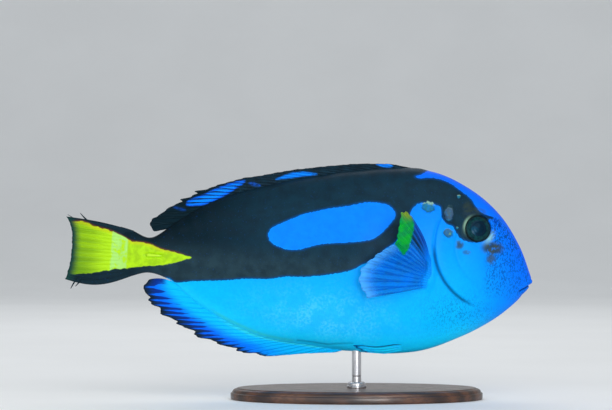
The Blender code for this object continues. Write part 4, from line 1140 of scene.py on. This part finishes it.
def pectoral_material(colours):
    """Pectoral fin: dark blue leading rays, a green band with a yellow tip, and clear blue membrane."""
    fin = FinPaint("pectoral_fin")
    along, across, depth = fields_of(fin.tree, "along across band")
    cloud = noise(on_object(fin.tree), 300.0, 3.0)
    lead, root = across.ramp(0.34, 0.22), along.ramp(0.24, 0.08)
    veil = along.ramp(0.75, 0.97) * across.ramp(0.36, 0.5)
    band = ragged_edge(fin.tree, depth, 500.0, 1.0, 0.5)
    leading = layered(
        colours.lead_teal,
        (across.ramp(0.24, 0.04), colours.lead_blue),
        (fin.away.ramp(0.2, 0.42) * 0.35, colours.oval_blue),
        (along.ramp(0.5, 0.1), colours.oval_blue),
    )
    green = layered(
        colours.fin_green,
        (cloud.ramp(0.35, 0.6), colours.band_green),
        (fin.rays * 0.08, colours.fin_black),
        (along.ramp(0.80, 0.97) * across.ramp(0.2, 0.1), colours.fin_tip),
    )
    clear = fin.rays * 0.40 + 0.35
    for solid in (lead * 0.9, root, band * 0.95, veil):
        clear = clear.math("MAXIMUM", solid)
    return fin.finish(layered(
        colours.oval_blue,
        (cloud.ramp(0.4, 0.65), colours.fin_clear),
        (fin.rays * 0.45, colours.fin_violet),
        (veil * 0.6, colours.fin_veil),
        (lead, leading),
        (band, green),
        (root, colours.cheek_blue),
    ), Alpha=clear)


def pelvic_material(colours):
    """Pelvic fins: belly blue with a dark outer spine and dark ray lines."""
    fin = FinPaint("pelvic_fin")
    along, ray = fields_of(fin.tree, "along ray")
    return fin.finish(layered(
        mottle(fin.tree, colours.keel_blue, colours.cheek_blue, 300.0, 0.4),
        (fin.rays.ramp(0.2, 0.9) * 0.25, colours.crest_blue),
        # the outer spine takes the dark colour of the painted crease shade
        (ray.ramp(0.72, 0.6) * 0.8, colours.crease),
        (along.ramp(0.90, 1.0), colours.worm_blue),
    ))


def thread_material(colours):
    """Dark loose ray tips with fine paler clouds."""
    material, tree = new_material("loose_rays", **WET_SKIN)
    return painted(material, Base_Color=mottle(tree, colours.fin_black, colours.tail_margin, 2500.0, 0.3))


# Stand


def lathe_piece(name, profile, half_length, half_width_y, sides, sharp):
    """An upright oval solid: profile gives (share of the half sizes, inset, height) in millimetres."""
    share, inset, height = (np.array(column)[:, None] for column in zip(*profile))
    turn = turns(sides)
    x = (half_length * share - inset) * np.cos(turn)
    y = (half_width_y * share - inset) * np.sin(turn)
    return tube_piece(name, np.stack([x, y, height + 0.0 * turn], axis=-1) * MM, sharp=sharp)


def quarter_round(steps, inset, depth, foot, rise):
    """Places (inset, height) up a quarter round that moves in by depth while it rises."""
    angles = np.linspace(0.0, math.pi / 2, steps)
    return [(inset + depth * (1 - math.cos(a)), foot + rise * math.sin(a)) for a in angles]


def stand_base(stand):
    """The wooden board: a rounded foot, a straight band, a small step and a hollow quarter round."""
    low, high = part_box("stand_base")
    half, thickness = (high - low) / MM / 2, stand.base_thickness / MM
    foot = [(0.9, 0.0), (0.3, 0.12), (0.08, 0.4), (0.0, 0.9)]
    foot += [(0.0, 2.5), (0.08, 2.75), (0.3, 2.9), (0.62, 2.95)]
    hollow = quarter_round(12, 0.7, 2.0, 3.0, thickness - 3.35)
    lip = [(2.75, thickness - 0.28), (2.85, thickness - 0.1), (3.1, thickness - 0.02), (3.4, thickness)]
    profile = [(1.0, inset, height) for inset, height in foot + hollow + lip]
    profile += [(share, 3.4 * share, thickness) for share in (0.9, 0.7, 0.5, 0.3, 0.1)]
    return lathe_piece("oval_base", profile, half.x, half.y, 160, 35)


def stand_collar():
    """The collar: a low turned ring round the rod's foot, with a bead and a rounded shoulder."""
    low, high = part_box("stand_collar")
    radius, foot, end = high.x / MM, low.z / MM - 0.25, high.z / MM
    edge = [(0.2, foot), (0.0, foot + 0.15), (0.0, foot + 0.7), (0.15, foot + 0.85), (0.35, foot + 0.95)]
    edge += quarter_round(10, 0.35, 1.2, end - 1.0, 1.0)
    profile = [(1.0, inset, height) for inset, height in edge] + [(0.52, 0.0, end), (0.3, 0.0, end)]
    return lathe_piece("rod_collar", profile, radius, radius, 72, 40)


def stand_rod():
    """The rod: a straight round bar with a turned groove above the collar, let into the belly at its top."""
    low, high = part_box("stand_rod")
    radius, foot = high.x / MM, low.z / MM - 0.2
    heights = np.linspace(foot, high.z / MM + 0.35, 90)
    profile = [(1.0, 0.16 * bell(height - foot - 4.6, 0.22), height) for height in heights]
    return lathe_piece("steel_rod", profile, radius, radius, 40, 50)


def wood_material(stand):
    """Dark oiled wood: wandering lines of light and dark grain, and long fine streaks."""
    material, tree = new_material("base_wood", Coat_Weight=0.35, Coat_Roughness=0.18)
    across = add(tree, "SeparateXYZ", "Y", {0: on_object(tree)})
    ring = across * 900.0 + noise(on_object(tree), 26.0, 3.0) * 22.0
    streak = noise(on_object(tree, (0.10, 1.0, 1.0)), 1400.0, 4.0).ramp(0.42, 0.62)
    grain = (ring.math("SINE") * 0.5 + 0.5, stand.wood_light)
    colour = layered(stand.wood_dark, grain, (streak * 0.55, stand.wood_dark))
    roughness = streak.ramp(0.0, 1.0, 0.36, 0.5)
    return painted(material, Base_Color=colour, Roughness=roughness, Normal=bump(streak, 0.12, 0.0002))


def steel_material(name, stretch):
    """Brushed steel: fine scratches, drawn out by stretch, in its colour, gloss and bump."""
    material, tree = new_material(name, Metallic=1.0)
    scratch = noise(on_object(tree, stretch), 5000.0, 3.0)
    colour = layered(STEEL_DARK, (scratch.ramp(0.3, 0.7), STEEL_LIGHT))
    roughness = scratch.ramp(0.3, 0.7, 0.24, 0.38)
    return painted(material, Base_Color=colour, Roughness=roughness, Normal=bump(scratch, 0.15, 0.00005))


# Studio


def backdrop(size):
    """The floor and backdrop: one sheet, level and then bent up through a quarter round."""
    along = np.linspace(0.0, 1.0, 80)[None, :]
    across = np.linspace(-1.0, 1.0, 3)[:, None]
    run = size * (2.6 * along - 1.3)
    bend, radius = size * 0.55, size * 0.4
    angle = np.clip((run - bend) / radius, 0.0, math.pi / 2)
    beyond = np.maximum(run - bend - radius * math.pi / 2, 0.0)
    y = np.minimum(run, bend) + radius * np.sin(angle)
    z = radius * (1.0 - np.cos(angle)) + beyond
    points = np.stack(np.broadcast_arrays(across * size * 1.6, y, z), axis=-1)
    return mesh_piece("studio_floor", points, grid_quads(3, 80).tolist())


def floor_material(colour):
    """Pale matt paper with a very faint cloudiness."""
    material, tree = new_material("studio_paper", Roughness=0.85)
    cloud = noise(on_object(tree), 9.0, 3.0).ramp(0.3, 0.7)
    return painted(material, Base_Color=layered(colour, (cloud, tuple(0.97 * value for value in colour))))


def in_scene(name, data, place):
    """A new object in the scene, such as a lamp or a camera."""
    made = bpy.data.objects.new(name, data)
    made.location = place
    bpy.context.scene.collection.objects.link(made)
    return made


def soft_light(name, place, size, power):
    """A square area light that faces the fish and isn't seen by the camera."""
    lamp = bpy.data.lights.new(name, "AREA")
    lamp.size = size
    lamp.energy = power
    light = in_scene(name, lamp, place)
    light.visible_camera = False
    light.rotation_euler = (LIT_PLACE - light.location).to_track_quat("-Z", "Y").to_euler()


def level_camera(studio):
    """A level camera at the fish's right side, whose picture is frame_width wide at the fish."""
    view = bpy.data.cameras.new("side_view")
    view.sensor_width = 36.0
    view.lens = view.sensor_width * studio.distance / studio.frame_width
    view.clip_start = 0.05
    camera = in_scene("side_view", view, (studio.middle, -studio.distance, studio.camera_height))
    camera.rotation_euler = (math.pi / 2, 0.0, 0.0)
    bpy.context.scene.camera = camera


def world_light(strength):
    """Even light from all round."""
    world = bpy.data.worlds.new("studio_light")
    world.use_nodes = True
    background = world.node_tree.nodes["Background"].inputs
    background["Color"].default_value = WORLD_TINT
    background["Strength"].default_value = strength
    bpy.context.scene.world = world


# Add-on


def swatch(name, description, *levels):
    """A colour whose default is given from 0 to 255 and held as the linear light that shaders use."""
    share = np.array(levels) / 255.0
    linear = np.where(share <= 0.04045, share / 12.92, ((share + 0.055) / 1.055) ** 2.4).tolist()
    return FloatVectorProperty(
        name=name, description=description, default=linear, subtype="COLOR", min=0.0, max=1.0
    )


def metres(name, description, default, low, high):
    """A length in metres."""
    return FloatProperty(
        name=name, description=description, default=default, min=low, max=high, unit="LENGTH", precision=4
    )


def share_of(name, description, default):
    """A share, at most 0.3."""
    return FloatProperty(
        name=name, description=description, default=default, min=0.0, max=0.3, subtype="FACTOR"
    )


class TangColours(PropertyGroup):
    """Colours of the fish."""

    crest_blue: swatch("Crest blue", "Blue of the snout, forehead and back", 0, 100, 245)
    cheek_blue: swatch("Cheek blue", "Blue of the cheek and of the pectoral fin's foot", 6, 150, 253)
    oval_blue: swatch("Oval blue", "Blue of the oval on the flank", 2, 128, 252)
    belly_blue: swatch("Belly blue", "Light blue of the belly", 2, 183, 250)
    # painted sheen: the palest cyan of the soft shine painted in clouds on the belly
    belly_sheen: swatch("Belly sheen", "Palest cyan in the clouds on the belly", 96, 216, 255)
    # paler blue along the keel: partly countershading, partly painted light that lifts the shade under the
    # belly; also the pelvic fins' blue
    keel_blue: swatch("Keel blue", "Palest blue, along the keel", 20, 212, 255)
    border_blue: swatch("Border", "Deep blue where the black band ends", 0, 60, 120)
    worm_blue: swatch("Fine marks", "Dark blue of the small marks on the snout", 0, 70, 148)
    band_top: swatch("Band, above", "Black of the band along the back", 16, 42, 56)
    band_rear: swatch("Band, rear", "Green-black of the band near the tail", 2, 14, 18)
    band_low: swatch("Band, below", "Brown-grey of the band's lower part", 36, 56, 64)
    stalk_yellow: swatch("Stalk yellow", "Bright yellow of the tail stalk", 174, 224, 4)
    tail_yellow: swatch("Tail yellow", "Green-yellow of the tail fin", 132, 178, 2)
    tail_shade: swatch("Tail shade", "Darker lanes between the tail's rays", 84, 130, 0)
    # the mint patch at the tail's root: partly the fin's own colour, partly a painted highlight
    mint_root_and_highlight: swatch("Tail root", "Mint patch at the root of the tail fin", 168, 224, 108)
    wedge_edge: swatch("Tail edge", "Red-brown line above the yellow", 116, 58, 10)
    wedge_warm: swatch("Tail edge, inside", "Warmer yellow inside that line", 204, 196, 6)
    spine_light: swatch("Spine", "Lighter grain of the tail spines", 188, 230, 44)
    tail_margin: swatch("Tail margin", "Dark blue-green rear edge of the tail", 20, 54, 48)
    fin_black: swatch("Fin black", "Black of the fins' edges", 14, 24, 32)
    fin_violet: swatch("Fin navy", "Navy of the fins' streaks", 6, 28, 120)
    fin_green: swatch("Fin green", "Green of the band on the pectoral fin", 0, 178, 44)
    band_green: swatch("Fin green, dark", "Darker green in the band's clouds", 0, 152, 70)
    lead_teal: swatch("Fin teal", "Dark teal between the green band and the leading rays", 0, 42, 66)
    lead_blue: swatch("Fin blue", "Deep blue of the pectoral fin's leading rays", 0, 62, 165)
    fin_tip: swatch("Fin tip", "Yellow-green tip of the pectoral fin", 120, 150, 40)
    root_green: swatch("Root line", "Pale green line along the root of the belly fin", 48, 208, 214)
    fin_clear: swatch("Clear membrane", "Blue of the clear part of the pectoral fin", 14, 118, 220)
    fin_veil: swatch("Veil", "Light edge of the pectoral fin", 84, 180, 250)
    scar_brown: swatch("Stain brown", "Olive brown of the stains on the head", 56, 66, 48)
    scar_grey: swatch("Stain grey", "Purple-grey of the stains and pits on the head", 40, 58, 74)
    pit_grey: swatch("Pit grey", "Purple-grey floor of the pit behind the eye", 64, 84, 112)
    scar_ochre: swatch("Pit ochre", "Ochre spot in a pit behind the eye", 104, 140, 84)
    scar_green: swatch("Pit teal", "Teal floor of the pits on the head", 34, 108, 118)
    # painted highlights: the pale of the pits' upper rims and of the crescent behind the eye
    rim_highlight: swatch("Pit rim", "Pale rims of the pits and the pale crescent behind the eye", 144, 184, 158)
    # painted highlight: the pale patch below and in front of the eye
    lid_highlight: swatch("Pale patch", "Pale cyan patch below and in front of the eye", 128, 186, 194)
    # painted shade: the dark put into the skin's folds and creases; it also colours the pelvic fins' outer
    # spine
    crease: swatch("Creases", "Dark of the folds and edges of the skin", 2, 34, 70)
    pupil: swatch("Pupil", "Teal-black of the pupil", 0, 24, 42)
    # painted glints: the lighter blue clouds in the pupil
    pupil_glint: swatch("Pupil, light", "Lighter blue cloud deep in the pupil", 4, 54, 78)
    iris_dark: swatch("Iris, dark", "Dark of the iris", 2, 28, 34)
    iris_light: swatch("Iris, light", "Lighter streaks of the iris", 8, 56, 58)
    eye_edge: swatch("Eye edge", "Brown-black edge of the eye", 22, 26, 22)


class TangSizes(PropertyGroup):
    """Sizes of the fish's finer shapes."""

    cover_rise: metres("Gill cover rise", "How proud the gill cover stands", 0.0008, 0.0, 0.002)
    fin_notch: share_of("Fin notch", "Share of a ray by which the membrane falls short of its tip", 0.09)
    pectoral_curl: share_of("Pectoral curl", "Bend of the pectoral rays as a share of their length", 0.10)
    eye_rings: IntProperty(name="Eye rings", description="Rings of an eyeball", default=70, min=12, max=200)


class StandSettings(PropertyGroup):
    """The display stand."""

    base_thickness: metres("Base thickness", "Thickness of the oval board", 0.005, 0.004, 0.02)
    wood_dark: swatch("Wood, dark", "Dark of the grain", 42, 24, 16)
    wood_light: swatch("Wood, light", "Light of the grain", 92, 56, 34)


class StudioSettings(PropertyGroup):
    """Camera and light."""

    distance: metres("Camera distance", "From the camera to the fish's middle plane", 1.0, 0.3, 5.0)
    frame_width: metres("Frame width", "Width of the picture at the fish", 0.26227, 0.1, 1.0)
    middle: metres("Middle", "Place of the camera along the fish", -0.02168, -0.5, 0.5)
    camera_height: metres("Camera height", "Height of the camera above the floor", 0.08317, 0.01, 1.0)
    light: FloatProperty(
        name="Light", description="Share of the full soft light", default=1.0, min=0.0, max=4.0
    )
    paper: swatch("Paper", "Colour of the floor and backdrop", 244, 246, 247)


class TANG_OT_skin(Operator):
    """Makes the skin of the head, trunk and tail stalk"""

    bl_idname = "tang.skin"
    bl_label = "Skin"

    def execute(self, context):
        scene = context.scene
        rings, fields = skin_rings(scene.tang_sizes.cover_rise / MM)
        piece = tube_piece("tang_skin", rings, fields)
        replaced = ("head", "lower_jaw", "gill_cover_right", "gill_cover_left", "torso", "tail_stalk")
        finished(piece, skin_material(scene.tang_colours), "skin_blue", *replaced)
        return {"FINISHED"}


class TANG_OT_eyes(Operator):
    """Makes both eyes"""

    bl_idname = "tang.eyes"
    bl_label = "Eyes"

    def execute(self, context):
        material = eye_material(context.scene.tang_colours)
        for name, side in SIDES:
            rings, fields = eye_rings(side, context.scene.tang_sizes.eye_rings)
            finished(tube_piece(f"eyeball_{name}", rings, fields), material, "eye", f"eye_{name}")
        return {"FINISHED"}


class TANG_OT_median_fins(Operator):
    """Makes the back fin, the belly fin and the tail fin"""

    bl_idname = "tang.median_fins"
    bl_label = "Back, belly and tail fins"

    def execute(self, context):
        colours, notch = context.scene.tang_colours, context.scene.tang_sizes.fin_notch
        finished(dorsal_fin(notch), dorsal_material(colours), "fin_dark", "dorsal_fin")
        finished(anal_fin(notch), anal_material(colours), "fin_blue", "anal_fin")
        finished(caudal_fin(notch), caudal_material(colours), "tail_yellow", "caudal_fin")
        thread = thread_material(colours)
        for piece in stray_rays():
            finished(piece, thread, "fin_dark")
        return {"FINISHED"}


class TANG_OT_paired_fins(Operator):
    """Makes the pectoral and pelvic fins"""

    bl_idname = "tang.paired_fins"
    bl_label = "Pectoral and pelvic fins"

    def execute(self, context):
        sizes = context.scene.tang_sizes
        pectoral = pectoral_material(context.scene.tang_colours)
        pelvic = pelvic_material(context.scene.tang_colours)
        for name, side in SIDES:
            fin = pectoral_fin(f"pectoral_rays_{name}", side, sizes.fin_notch, sizes.pectoral_curl)
            finished(fin, pectoral, "fin_blue", f"pectoral_fin_{name}")
            fin = pelvic_fin(f"pelvic_rays_{name}", side, sizes.fin_notch)
            finished(fin, pelvic, "fin_blue", f"pelvic_fin_{name}")
        return {"FINISHED"}


class TANG_OT_tail_spines(Operator):
    """Makes the spines in the grooves of the tail stalk"""

    bl_idname = "tang.tail_spines"
    bl_label = "Tail spines"

    def execute(self, context):
        material = spine_material(context.scene.tang_colours)
        for name, side in SIDES:
            piece = tube_piece(f"tail_blade_{name}", spine_rings(side))
            finished(piece, material, "spine_bone", f"tail_spine_{name}")
        return {"FINISHED"}


class TANG_OT_stand(Operator):
    """Makes the wooden base, the collar and the steel rod"""

    bl_idname = "tang.stand"
    bl_label = "Display stand"

    def execute(self, context):
        stand = context.scene.tang_stand
        finished(stand_base(stand), wood_material(stand), "base_wood", "stand_base")
        finished(stand_collar(), steel_material("collar_steel", ROUND_COLLAR), "rod_steel", "stand_collar")
        finished(stand_rod(), steel_material("rod_steel", ALONG_ROD), "rod_steel", "stand_rod")
        return {"FINISHED"}


class TANG_OT_studio(Operator):
    """Makes the floor, the lights and the camera"""

    bl_idname = "tang.studio"
    bl_label = "Studio"

    def execute(self, context):
        studio = context.scene.tang_studio
        floor = backdrop(FLOOR_SIZE)
        floor.data.materials.append(floor_material(tuple(studio.paper)))
        for name, place, size, power in STUDIO_LIGHTS:
            soft_light(name, place, size, power * studio.light)
        world_light(WORLD_STRENGTH * studio.light)
        level_camera(studio)
        context.scene.view_settings.view_transform = "Standard"
        return {"FINISHED"}


OPERATORS = (
    TANG_OT_skin,
    TANG_OT_eyes,
    TANG_OT_median_fins,
    TANG_OT_paired_fins,
    TANG_OT_tail_spines,
    TANG_OT_stand,
    TANG_OT_studio,
)
SETTINGS = {
    "tang_colours": TangColours,
    "tang_sizes": TangSizes,
    "tang_stand": StandSettings,
    "tang_studio": StudioSettings,
}


class TANG_PT_model(Panel):
    """Lists the pieces of the model and their settings"""

    bl_label = "Regal Blue Tang"
    bl_idname = "TANG_PT_model"
    bl_space_type = "VIEW_3D"
    bl_region_type = "UI"
    bl_category = "Blue Tang"

    def draw(self, context):
        for operator in OPERATORS:
            self.layout.operator(operator.bl_idname)
        for label in SETTINGS:
            settings = getattr(context.scene, label)
            box = self.layout.box()
            for key in settings.__annotations__:
                box.prop(settings, key)


CLASSES = (*SETTINGS.values(), *OPERATORS, TANG_PT_model)


def register():
    for cls in CLASSES:
        bpy.utils.register_class(cls)
    for label, group in SETTINGS.items():
        setattr(bpy.types.Scene, label, PointerProperty(type=group))


def unregister():
    for label in SETTINGS:
        delattr(bpy.types.Scene, label)
    for cls in reversed(CLASSES):
        bpy.utils.unregister_class(cls)


def main():
    register()
    for operator in OPERATORS:
        group, name = operator.bl_idname.split(".")
        getattr(getattr(bpy.ops, group), name)()


if __name__ == "__main__":
    main()
